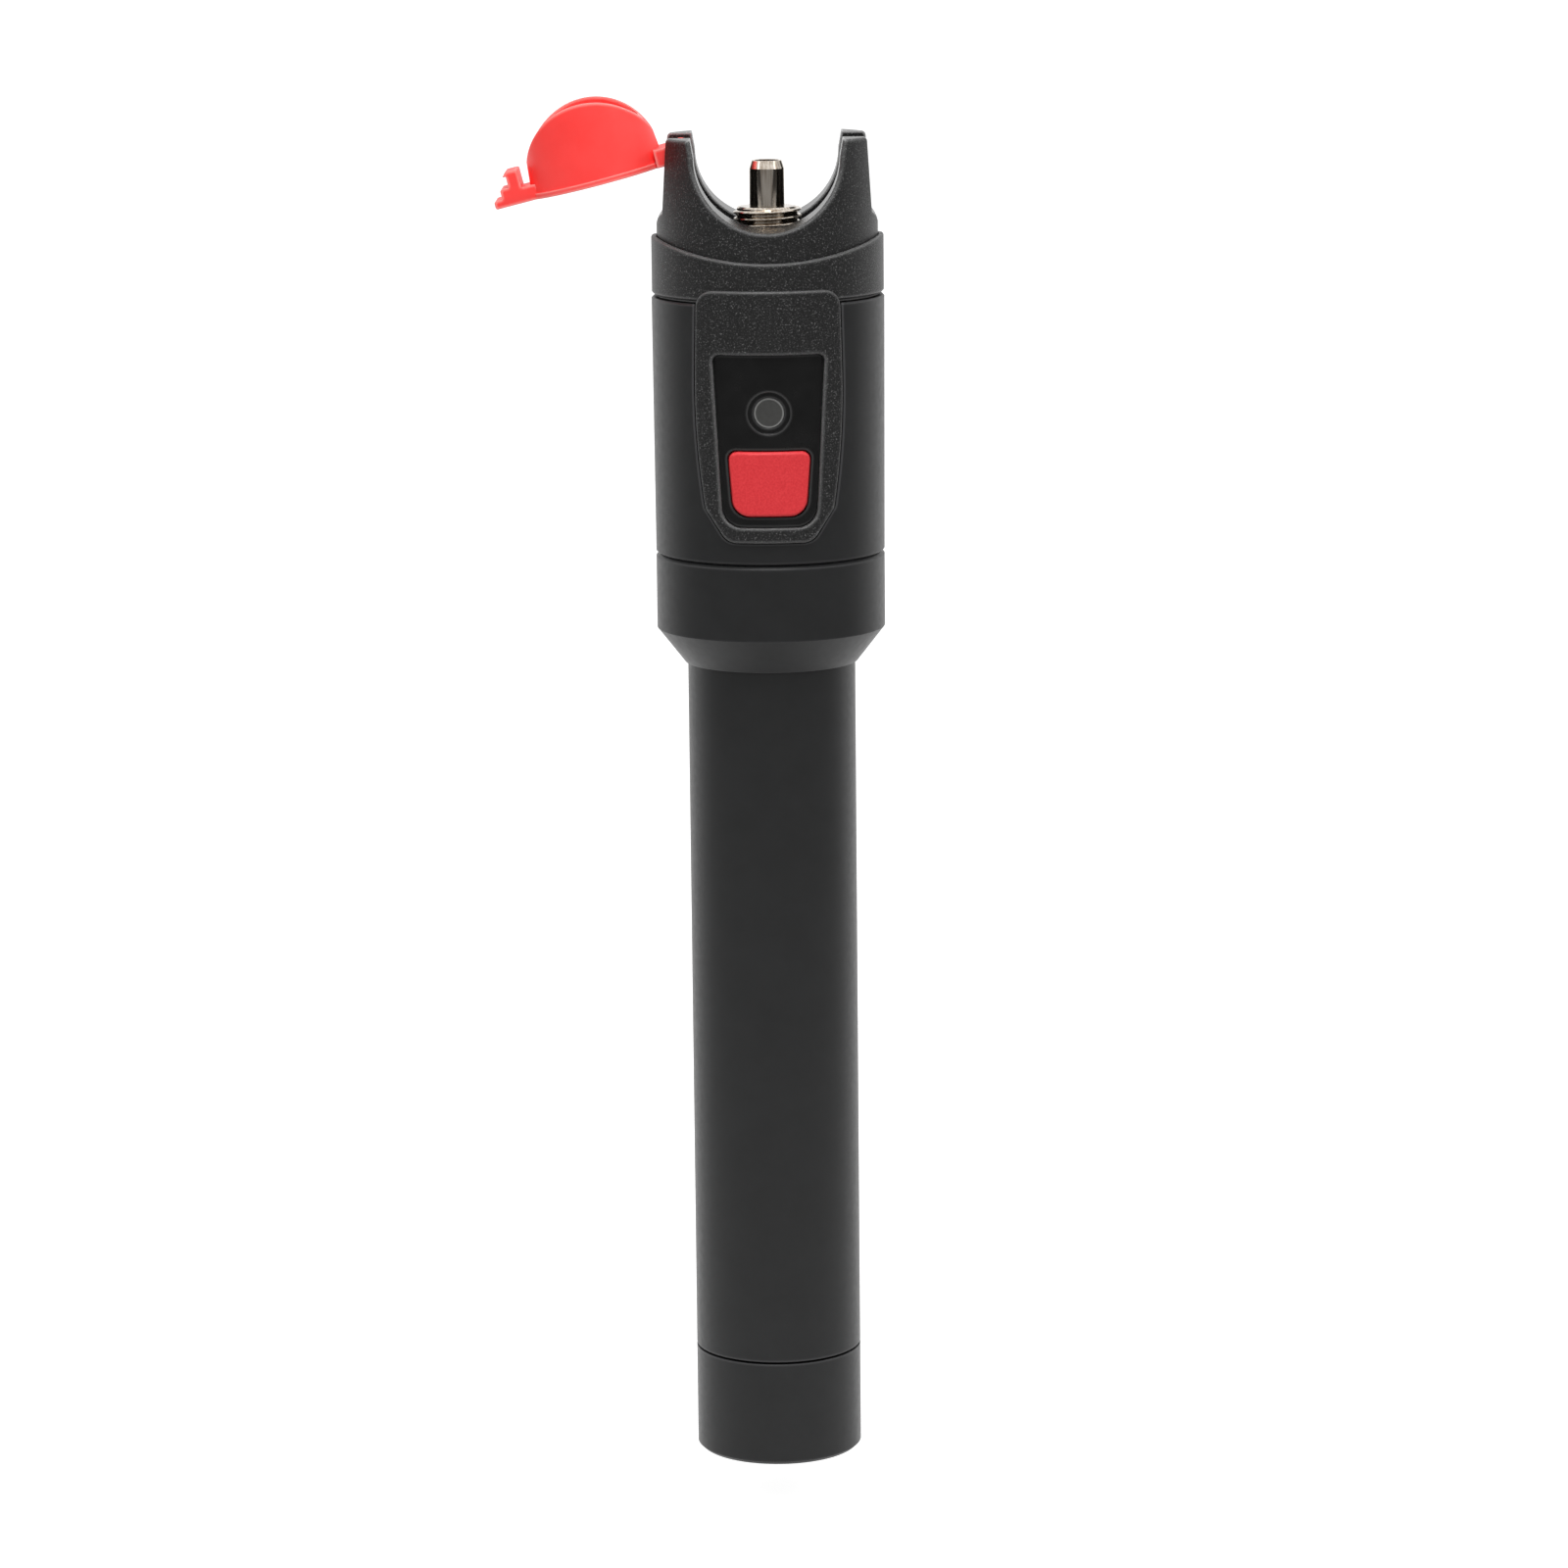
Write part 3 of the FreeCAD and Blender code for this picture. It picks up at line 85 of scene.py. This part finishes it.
# Openness of the material below its surface, which falls towards an edge: where the painted edge highlight
# starts and is full
EDGE_HIGHLIGHT_START = 0.93
EDGE_HIGHLIGHT_FULL = 0.76
# Distance from the axis, in millimetres, inside which the fork's mouth is smooth
MOUTH_REACH = 12.6
# How far a metal's roughness goes up and down, and the least that it comes to
ROUGHNESS_SWING = 0.05
LEAST_ROUGHNESS = 0.02
# Darkest and lightest shares of a plain material's colour
DARK_SHARE = 0.9
LIGHT_SHARE = 1.08


class Nodes:
    """Adds nodes and links to an empty tree."""

    def __init__(self, tree):
        self.tree = tree
        tree.nodes.clear()

    def node(self, kind, **settings):
        made = self.tree.nodes.new(kind)
        for key, value in settings.items():
            setattr(made, key, value)
        return made

    def join(self, output, socket):
        self.tree.links.new(output, socket)


class Finish(Nodes):
    """A material with a Principled shader, and helpers for its textures."""

    def __init__(self, name, color, roughness, **inputs):
        self.material = bpy.data.materials.new(name)
        self.material.use_nodes = True
        super().__init__(self.material.node_tree)
        self.shader = self.node("ShaderNodeBsdfPrincipled")
        self.link(self.shader, "BSDF", self.node("ShaderNodeOutputMaterial"), "Surface")
        self.shader.inputs["Base Color"].default_value = (*color, 1.0)
        self.shader.inputs["Roughness"].default_value = roughness
        for key, value in inputs.items():
            self.shader.inputs[key.replace("_", " ")].default_value = value
        self.place = self.node("ShaderNodeTexCoord")

    def link(self, source, out, target, socket):
        self.join(source.outputs[out], target.inputs[socket])

    def noise(self, size, detail=2.0, stretch=(1.0, 1.0, 1.0)):
        """Noise whose features are about size millimetres across."""
        mapping = self.node("ShaderNodeMapping")
        mapping.inputs["Scale"].default_value = stretch
        self.link(self.place, "Object", mapping, "Vector")
        noise = self.node("ShaderNodeTexNoise")
        noise.inputs["Scale"].default_value = 1.0 / (size * MM)
        noise.inputs["Detail"].default_value = detail
        self.link(mapping, "Vector", noise, "Vector")
        return noise

    def ramp(self, source, out, stops, target=None):
        """Turns a value into a grey or a colour, and links it to a shader input."""
        ramp = self.node("ShaderNodeValToRGB")
        elements = ramp.color_ramp.elements
        while len(elements) < len(stops):
            elements.new(0.5)
        for element, (place, value) in zip(elements, stops):
            element.position = place
            element.color = (*value, 1.0) if isinstance(value, tuple) else (value, value, value, 1.0)
        self.link(source, out, ramp, "Fac")
        if target:
            self.link(ramp, "Color", self.shader, target)
        return ramp

    def vary(self, noise, low, high, target=None):
        """Greys or colours that follow a noise from a low one to a high one."""
        return self.ramp(noise, "Fac", list(zip(NOISE_SPAN, (low, high))), target)

    def bump(self, source, out, height, edge=None, strength=None):
        """Raises the surface by height millimetres, over edges rounded by edge millimetres."""
        bump = self.node("ShaderNodeBump")
        bump.inputs["Distance"].default_value = height * MM
        bump.inputs["Strength"].default_value = 1.0
        self.link(source, out, bump, "Height")
        if strength is not None:
            self.link(strength, "Value", bump, "Strength")
        if edge is not None:
            bevel = self.node("ShaderNodeBevel", samples=4)
            bevel.inputs["Radius"].default_value = edge * MM
            self.link(bevel, "Normal", bump, "Normal")
        self.link(bump, "Normal", self.shader, "Normal")

    def paint_edge_highlight(self, base, color, reach, share):
        """Paints a highlight into the base colour along outer edges, by up to a share within reach
        millimetres of them.
        """
        inner = self.node("ShaderNodeAmbientOcclusion", inside=True, only_local=True, samples=8)
        inner.inputs["Distance"].default_value = reach * MM
        edge_highlight_share = self.node("ShaderNodeMapRange")
        self.link(inner, "AO", edge_highlight_share, "Value")
        edge_highlight_share.inputs["From Min"].default_value = EDGE_HIGHLIGHT_START
        edge_highlight_share.inputs["From Max"].default_value = EDGE_HIGHLIGHT_FULL
        edge_highlight_share.inputs["To Max"].default_value = share
        # Mixes the painted highlight's colour into the base colour
        mix = self.node("ShaderNodeMixRGB")
        self.link(edge_highlight_share, "Result", mix, "Fac")
        self.link(base, "Color", mix, "Color1")
        mix.inputs["Color2"].default_value = (*color, 1.0)
        self.link(mix, "Color", self.shader, "Base Color")

    def outside(self, radius):
        """1 further than radius millimetres from the object's axis, and 0 nearer."""
        flat = self.node("ShaderNodeVectorMath", operation="MULTIPLY")
        flat.inputs[1].default_value = (1.0, 1.0, 0.0)
        self.link(self.place, "Object", flat, 0)
        length = self.node("ShaderNodeVectorMath", operation="LENGTH")
        self.link(flat, "Vector", length, 0)
        step = self.node("ShaderNodeMath", operation="GREATER_THAN")
        step.inputs[1].default_value = radius * MM
        self.link(length, "Value", step, 0)
        return step


def anodised_black():
    finish = Finish("anodised_black", (0.009, 0.0095, 0.010), 0.4, Specular_IOR_Level=0.3)
    mottle = finish.vary(finish.noise(4.0, 3.0), (0.0075, 0.0077, 0.0080), (0.0098, 0.0101, 0.0105))
    # Lighter along outer edges: a painted highlight
    finish.paint_edge_highlight(mottle, (0.05, 0.05, 0.052), 0.3, 0.8)
    finish.vary(finish.noise(0.8), 0.37, 0.43, "Roughness")
    finish.bump(finish.noise(0.12), "Fac", 0.002, edge=0.12)
    return finish.material


def moulded_black():
    """Spark-textured plastic, grainy on its outside and smooth inside the fork's mouth; its brightest
    grains are painted glints, and its edges carry a painted highlight.
    """
    finish = Finish("moulded_black", (0.016, 0.016, 0.016), 0.42, Specular_IOR_Level=0.3)
    grain = finish.noise(0.17, 3.0)
    # Grain of the moulding in the colour; its brightest dots are painted glints
    grain_and_glints = finish.ramp(grain, "Fac", [(0.36, 0.004), (0.52, 0.008), (0.62, 0.026), (0.70, 0.12)])
    # Lighter along outer edges: a painted highlight
    finish.paint_edge_highlight(grain_and_glints, (0.22, 0.22, 0.22), 0.3, 1.0)
    outside = finish.outside(MOUTH_REACH)
    finish.ramp(outside, "Value", [(0.0, 0.27), (1.0, 0.42)], "Roughness")
    finish.bump(grain, "Fac", 0.05, edge=0.15, strength=outside)
    return finish.material


def window_black():
    finish = Finish("window_black", (0.003, 0.003, 0.0032), 0.22, Specular_IOR_Level=0.3)
    cloud = finish.noise(2.5, 3.0)
    # Cloudy tone, lighter along outer edges: a painted highlight
    finish.paint_edge_highlight(finish.vary(cloud, 0.0027, 0.0034), (0.035, 0.035, 0.035), 0.35, 0.9)
    finish.vary(cloud, 0.18, 0.28, "Roughness")
    finish.bump(finish.noise(3.0), "Fac", 0.01, edge=0.18)
    return finish.material


def button_red():
    finish = Finish("button_red", (0.70, 0.03, 0.038), 0.45, Specular_IOR_Level=0.4)
    grain = finish.noise(0.22, 3.0)
    finish.ramp(grain, "Fac", [(0.35, (0.60, 0.020, 0.027)), (0.7, (0.69, 0.035, 0.042))], "Base Color")
    finish.bump(grain, "Fac", 0.03, edge=0.3)
    return finish.material


def cap_red():
    finish = Finish("cap_red", (0.90, 0.045, 0.04), 0.45, Subsurface_Weight=0.3, Subsurface_Scale=2.0 * MM,
                    Subsurface_Radius=(1.0, 0.3, 0.25), Specular_IOR_Level=0.45)
    cloud = finish.vary(finish.noise(5.0, 3.0), (0.91, 0.042, 0.037), (0.97, 0.058, 0.052))
    # Paler red along outer edges: a painted highlight and a painted glow of light scattered through the
    # thin edges
    finish.paint_edge_highlight(cloud, (0.95, 0.26, 0.24), 0.4, 0.8)
    finish.bump(finish.noise(0.6), "Fac", 0.008, edge=0.15)
    return finish.material


def metal(name, color, roughness, turning=0.15):
    """Plated or turned metal with fine rings round the part's axis."""
    finish = Finish(name, color, roughness, Metallic=1.0)
    rings = finish.noise(turning, 2.0, (0.02, 0.02, 1.0))
    smooth = max(roughness - ROUGHNESS_SWING, LEAST_ROUGHNESS)
    finish.vary(rings, smooth, roughness + ROUGHNESS_SWING, "Roughness")
    finish.bump(rings, "Fac", 0.001)
    return finish.material


def plastic(name, color, roughness, grain=0.5, **inputs):
    """Plain moulded material with a slight unevenness in colour and surface."""
    finish = Finish(name, color, roughness, **inputs)
    noise = finish.noise(grain, 3.0)
    dark = tuple(DARK_SHARE * channel for channel in color)
    light = tuple(min(LIGHT_SHARE * channel, 1.0) for channel in color)
    finish.vary(noise, dark, light, "Base Color")
    finish.bump(noise, "Fac", 0.006)
    return finish.material


def port_nickel():
    """Bright nickel with faint drawing marks along the barrel."""
    finish = Finish("port_nickel", (0.70, 0.66, 0.61), 0.1, Metallic=1.0)
    streaks = finish.noise(0.3, 3.0, (1.0, 1.0, 0.06))
    finish.ramp(streaks, "Fac", [(0.35, (0.42, 0.35, 0.28)), (0.6, (0.74, 0.67, 0.59))], "Base Color")
    finish.vary(streaks, 0.08, 0.16, "Roughness")
    finish.bump(streaks, "Fac", 0.0006)
    return finish.material


def indicator_grey():
    finish = Finish("indicator_grey", (0.04, 0.04, 0.038), 0.4, Specular_IOR_Level=0.4)
    cloud = finish.vary(finish.noise(0.5, 3.0), (0.034, 0.034, 0.032), (0.042, 0.042, 0.040))
    # Lighter along outer edges: a painted highlight
    finish.paint_edge_highlight(cloud, (0.20, 0.20, 0.195), 0.25, 0.9)
    return finish.material


MATERIALS = {
    "anodised_black": anodised_black(),
    "moulded_black": moulded_black(),
    "window_black": window_black(),
    "button_red": button_red(),
    "cap_red": cap_red(),
    "indicator_grey": indicator_grey(),
    "port_nickel": port_nickel(),
    "ceramic_white": plastic("ceramic_white", (0.83, 0.81, 0.76), 0.25),
    "housing_brass": metal("housing_brass", (0.78, 0.58, 0.28), 0.3),
    "contact_nickel": metal("contact_nickel", (0.70, 0.69, 0.66), 0.25),
    "steel": metal("steel", (0.56, 0.56, 0.57), 0.3),
    "cell_jacket": plastic("cell_jacket", (0.30, 0.31, 0.33), 0.35),
    "seal_rubber": plastic("seal_rubber", (0.02, 0.02, 0.02), 0.7),
    "board_green": plastic("board_green", (0.02, 0.16, 0.07), 0.35),
    "component_black": plastic("component_black", (0.025, 0.025, 0.025), 0.5),
    "led_white": plastic("led_white", (0.85, 0.84, 0.76), 0.35),
    "lens_glass": plastic("lens_glass", (0.95, 0.97, 0.98), 0.03, Transmission_Weight=1.0),
    "carrier_plastic": plastic("carrier_plastic", (0.05, 0.05, 0.053), 0.55),
}


def dress_nodes():
    """Gives each CAD node the material of its slot in the record."""
    for part in frame["record"]["subparts"]:
        node = frame["nodes"][part["node"]]
        node.data.materials.clear()
        node.data.materials.append(MATERIALS[part["material_slot"]])


dress_nodes()


# ---------------------------------------------------------------- threaded port

PORT_FOOT, PORT_TOP = (corner.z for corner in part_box("connector_port"))
# The port from its nose down, and the bore inside it
BARREL_LENGTH = 5.3 * MM
BARREL_RADIUS = 2.03 * MM
NOSE_LENGTH = 0.95 * MM
NOSE_RADIUS = 1.75 * MM
LIP_LENGTH = 1.2 * MM
MOUTH_RADIUS = 1.45 * MM
BORE_RADIUS = 1.65 * MM
BASE_LENGTH = 3.85 * MM
APERTURE_RADIUS = 0.8 * MM
STUD_RADIUS = 4.0 * MM
STUD_TOP = PORT_TOP - BARREL_LENGTH
BORE_FOOT = PORT_FOOT + BASE_LENGTH
RIM_CHAMFER = 0.2 * MM
SOFT_EDGE = 0.05 * MM
# The stud's thread, which starts at the back; over part of a turn its ends sink to a share of its height
THREAD_DROP = 0.17 * MM
THREAD_PITCH = 0.75 * MM
THREAD_DEPTH = 0.46 * MM
THREAD_TURNS = 5
THREAD_START_TURN = 0.25
THREAD_FADE_TURNS = 0.2
THREAD_END_RISE = 0.1
CORE_RADIUS = STUD_RADIUS - THREAD_DEPTH
# The ridge's section
CREST_HALF = 0.03 * MM
CREST_ROUND = 0.12 * MM
FLANK_HALF = 0.32 * MM
SECTION_CORNERS = 5
# Facets in a turn, and the angle between faces from which an edge is sharp
TURN_STEPS = 144
SHARP_ANGLE = math.radians(15)


def port_rows():
    """The port's closed outline, round its outside and back down its bore, as (height, radius)."""
    return [
        (PORT_FOOT, APERTURE_RADIUS),
        (PORT_FOOT, CORE_RADIUS),
        (STUD_TOP - RIM_CHAMFER, CORE_RADIUS),
        (STUD_TOP, CORE_RADIUS - RIM_CHAMFER),
        (STUD_TOP, BARREL_RADIUS),
        (PORT_TOP - NOSE_LENGTH, BARREL_RADIUS),
        (PORT_TOP - SOFT_EDGE, NOSE_RADIUS),
        (PORT_TOP, NOSE_RADIUS - SOFT_EDGE),
        (PORT_TOP, MOUTH_RADIUS + SOFT_EDGE),
        (PORT_TOP - SOFT_EDGE, MOUTH_RADIUS),
        (PORT_TOP - LIP_LENGTH, MOUTH_RADIUS),
        (PORT_TOP - LIP_LENGTH, BORE_RADIUS),
        (BORE_FOOT, BORE_RADIUS),
        (BORE_FOOT, APERTURE_RADIUS),
    ]


def ring_faces(ring, rings, size, first=0):
    """Faces that join one ring of corners to the next, which may be the first again."""
    low = first + ring * size
    high = first + (ring + 1) % rings * size
    return [(low + i, low + (i + 1) % size, high + (i + 1) % size, high + i) for i in range(size)]


def turned(rows):
    """Corners and faces of a closed outline turned about Z."""
    angles = [math.tau * step / TURN_STEPS for step in range(TURN_STEPS)]
    corners = []
    for height, radius in rows:
        corners += [(radius * math.cos(angle), radius * math.sin(angle), height) for angle in angles]
    faces = [face for row in range(len(rows)) for face in ring_faces(row, len(rows), TURN_STEPS)]
    return corners, faces


def thread_section(turns):
    """The ridge's section, as (radius, height), a number of turns down from its start."""
    root = CORE_RADIUS - SOFT_EDGE
    rise = THREAD_END_RISE + min(turns, THREAD_TURNS - turns) / THREAD_FADE_TURNS
    crest = root + min(rise, 1.0) * (STUD_RADIUS - root)
    middle = STUD_TOP - THREAD_DROP - THREAD_PITCH * turns
    return [
        (root, middle - FLANK_HALF),
        (crest, middle - CREST_HALF),
        (crest, middle + CREST_HALF),
        (max(crest - CREST_ROUND, root), middle + CREST_HALF + CREST_ROUND),
        (root, min(middle + FLANK_HALF, STUD_TOP - RIM_CHAMFER)),
    ]


def thread(first):
    """Corners and faces of the right-hand ridge, which starts at the back and sinks away at both ends."""
    steps = THREAD_TURNS * TURN_STEPS
    corners = []
    for step in range(steps + 1):
        turns = step / TURN_STEPS
        angle = math.tau * (THREAD_START_TURN - turns)
        corners += [(radius * math.cos(angle), radius * math.sin(angle), height)
                    for radius, height in thread_section(turns)]
    faces = []
    for step in range(steps):
        faces += ring_faces(step, steps + 1, SECTION_CORNERS, first)
    top_cap = tuple(range(first + SECTION_CORNERS - 1, first - 1, -1))
    last = first + SECTION_CORNERS * steps
    return corners, faces + [top_cap, tuple(range(last, last + SECTION_CORNERS))]


def port_mesh():
    """The turned port and its thread as one mesh."""
    corners, faces = turned(port_rows())
    ridge_corners, ridge_faces = thread(len(corners))
    mesh = bpy.data.meshes.new("threaded_port")
    mesh.from_pydata(corners + ridge_corners, [], faces + ridge_faces)
    mesh.shade_smooth()
    mesh.set_sharp_from_angle(angle=SHARP_ANGLE)
    return mesh


def add_piece(name, mesh, slot, body, *replaced):
    """Adds a piece of the object that rides on a body, in place of the CAD nodes named."""
    mesh.materials.append(MATERIALS[slot])
    piece = bpy.data.objects.new(name, mesh)
    bpy.context.scene.collection.objects.link(piece)
    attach(piece, body)
    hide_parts(*replaced)


add_piece("threaded_port", port_mesh(), "port_nickel", "root", "connector_port")


# ---------------------------------------------------------------- studio

FLOOR_REACH = 20.0
FLOOR_DROP = 6.0 * MM
# Distances from the object between which the bright middle of the floor fades out
NEAR_START = 0.05
NEAR_END = 0.7
# Levels of light, as shares of white
FLOOR_GREY = 0.42
FLOOR_GLOW = 0.9
NEAR_LEVEL = 0.86
BACKDROP_LEVEL = 1.0
FRONT_LEVEL = 0.25
ROOM_LEVEL = 0.65
# Parts of a unit direction, backwards and upwards, over which the room turns white
BACKDROP_START = -0.2
BACKDROP_END = 0.7
CEILING_START = 0.1
CEILING_END = 0.5
# The point that the lamps face
LAMP_AIM = Vector((0.0, 0.0, 0.08))


class Studio(Nodes):
    """Helpers for the node trees of the floor and the world."""

    def math(self, operation, *values):
        made = self.node("ShaderNodeMath", operation=operation)
        for socket, value in zip(made.inputs, values):
            if isinstance(value, (int, float)):
                socket.default_value = value
            else:
                self.join(value, socket)
        return made.outputs[0]

    def length(self, vector):
        made = self.node("ShaderNodeVectorMath", operation="LENGTH")
        self.join(vector, made.inputs[0])
        return made.outputs["Value"]

    def fade(self, value, start, end, low, high):
        made = self.node("ShaderNodeMapRange", interpolation_type="SMOOTHSTEP")
        self.join(value, made.inputs["Value"])
        for name, number in zip(("From Min", "From Max", "To Min", "To Max"), (start, end, low, high)):
            made.inputs[name].default_value = number
        return made.outputs["Result"]

    def backdrop(self, vector, front_level):
        """1 in the directions behind and above the object, falling to a lower level in front of it."""
        unit = self.node("ShaderNodeVectorMath", operation="NORMALIZE")
        self.join(vector, unit.inputs[0])
        split = self.node("ShaderNodeSeparateXYZ")
        self.join(unit.outputs["Vector"], split.inputs[0])
        behind = self.fade(split.outputs["Y"], BACKDROP_START, BACKDROP_END, front_level, 1.0)
        above = self.fade(split.outputs["Z"], CEILING_START, CEILING_END, 0.0, 1.0)
        return self.math("MAXIMUM", behind, above)

    def mirrored_rays(self):
        """1 for glossy and transmission rays, and 0 for others."""
        path = self.node("ShaderNodeLightPath")
        return self.math("MAXIMUM", path.outputs["Is Glossy Ray"], path.outputs["Is Transmission Ray"])

    def camera_rays(self):
        return self.node("ShaderNodeLightPath").outputs["Is Camera Ray"]


def floor_material():
    """Matte grey with a glow for the camera, which mirrored rays see near the object and behind it."""
    material = bpy.data.materials.new("floor")
    material.use_nodes = True
    studio = Studio(material.node_tree)
    matte = studio.node("ShaderNodeBsdfDiffuse")
    matte.inputs["Color"].default_value = (FLOOR_GREY, FLOOR_GREY, FLOOR_GREY, 1.0)
    glow = studio.node("ShaderNodeEmission")
    place = studio.node("ShaderNodeTexCoord").outputs["Object"]
    near = studio.fade(studio.length(place), NEAR_END, NEAR_START, 0.0, NEAR_LEVEL)
    sweep = studio.math("MAXIMUM", near, studio.backdrop(place, 0.0))
    mirrored = studio.math("MULTIPLY", studio.mirrored_rays(), sweep)
    seen = studio.math("MAXIMUM", studio.camera_rays(), mirrored)
    studio.join(studio.math("MULTIPLY", seen, FLOOR_GLOW), glow.inputs["Strength"])
    both = studio.node("ShaderNodeAddShader")
    studio.join(matte.outputs[0], both.inputs[0])
    studio.join(glow.outputs[0], both.inputs[1])
    studio.join(both.outputs[0], studio.node("ShaderNodeOutputMaterial").inputs["Surface"])
    return material


def make_floor():
    """A pale floor, low enough for the tail cap to come down as it unscrews."""
    mesh = bpy.data.meshes.new("floor")
    corners = [(x * FLOOR_REACH, y * FLOOR_REACH, 0.0) for x, y in ((-1, -1), (1, -1), (1, 1), (-1, 1))]
    mesh.from_pydata(corners, [], [(0, 1, 2, 3)])
    mesh.materials.append(floor_material())
    floor = bpy.data.objects.new("floor", mesh)
    floor.location.z = -FLOOR_DROP
    bpy.context.scene.collection.objects.link(floor)


def make_world():
    """A white room, which mirrored rays see darker in front of the object."""
    world = bpy.data.worlds.new("studio")
    bpy.context.scene.world = world
    world.use_nodes = True
    studio = Studio(world.node_tree)
    soft = studio.node("ShaderNodeBackground")
    soft.inputs["Color"].default_value = (1.0, 1.0, 1.0, 1.0)
    front = studio.backdrop(studio.node("ShaderNodeTexCoord").outputs["Generated"], FRONT_LEVEL)
    mirrored = studio.mirrored_rays()
    camera = studio.camera_rays()
    plain = studio.math("SUBTRACT", 1.0, studio.math("MAXIMUM", mirrored, camera))
    seen = studio.math("MULTIPLY", camera, BACKDROP_LEVEL)
    reflected = studio.math("MULTIPLY", mirrored, front)
    scattered = studio.math("MULTIPLY", plain, ROOM_LEVEL)
    level = studio.math("ADD", scattered, studio.math("ADD", seen, reflected))
    studio.join(level, soft.inputs["Strength"])
    studio.join(soft.outputs[0], studio.node("ShaderNodeOutputWorld").inputs["Surface"])


def softbox(name, place, size, watts):
    """A rectangular lamp that points at the middle of the object."""
    lamp = bpy.data.lights.new(name, "AREA")
    lamp.shape = "RECTANGLE"
    lamp.size, lamp.size_y = size
    lamp.energy = watts
    holder = bpy.data.objects.new(name, lamp)
    bpy.context.scene.collection.objects.link(holder)
    holder.location = place
    holder.rotation_euler = (LAMP_AIM - Vector(place)).to_track_quat("-Z", "Y").to_euler()


make_floor()
make_world()
softbox("left_softbox", (-0.6, -0.15, 0.6), (0.5, 0.3), 1.0)
softbox("right_softbox", (0.6, -0.15, 0.6), (0.5, 0.3), 1.0)
softbox("top_softbox", (0.0, -0.30, 0.60), (0.3, 0.3), 2.6)

bpy.context.scene.view_settings.view_transform = "Standard"
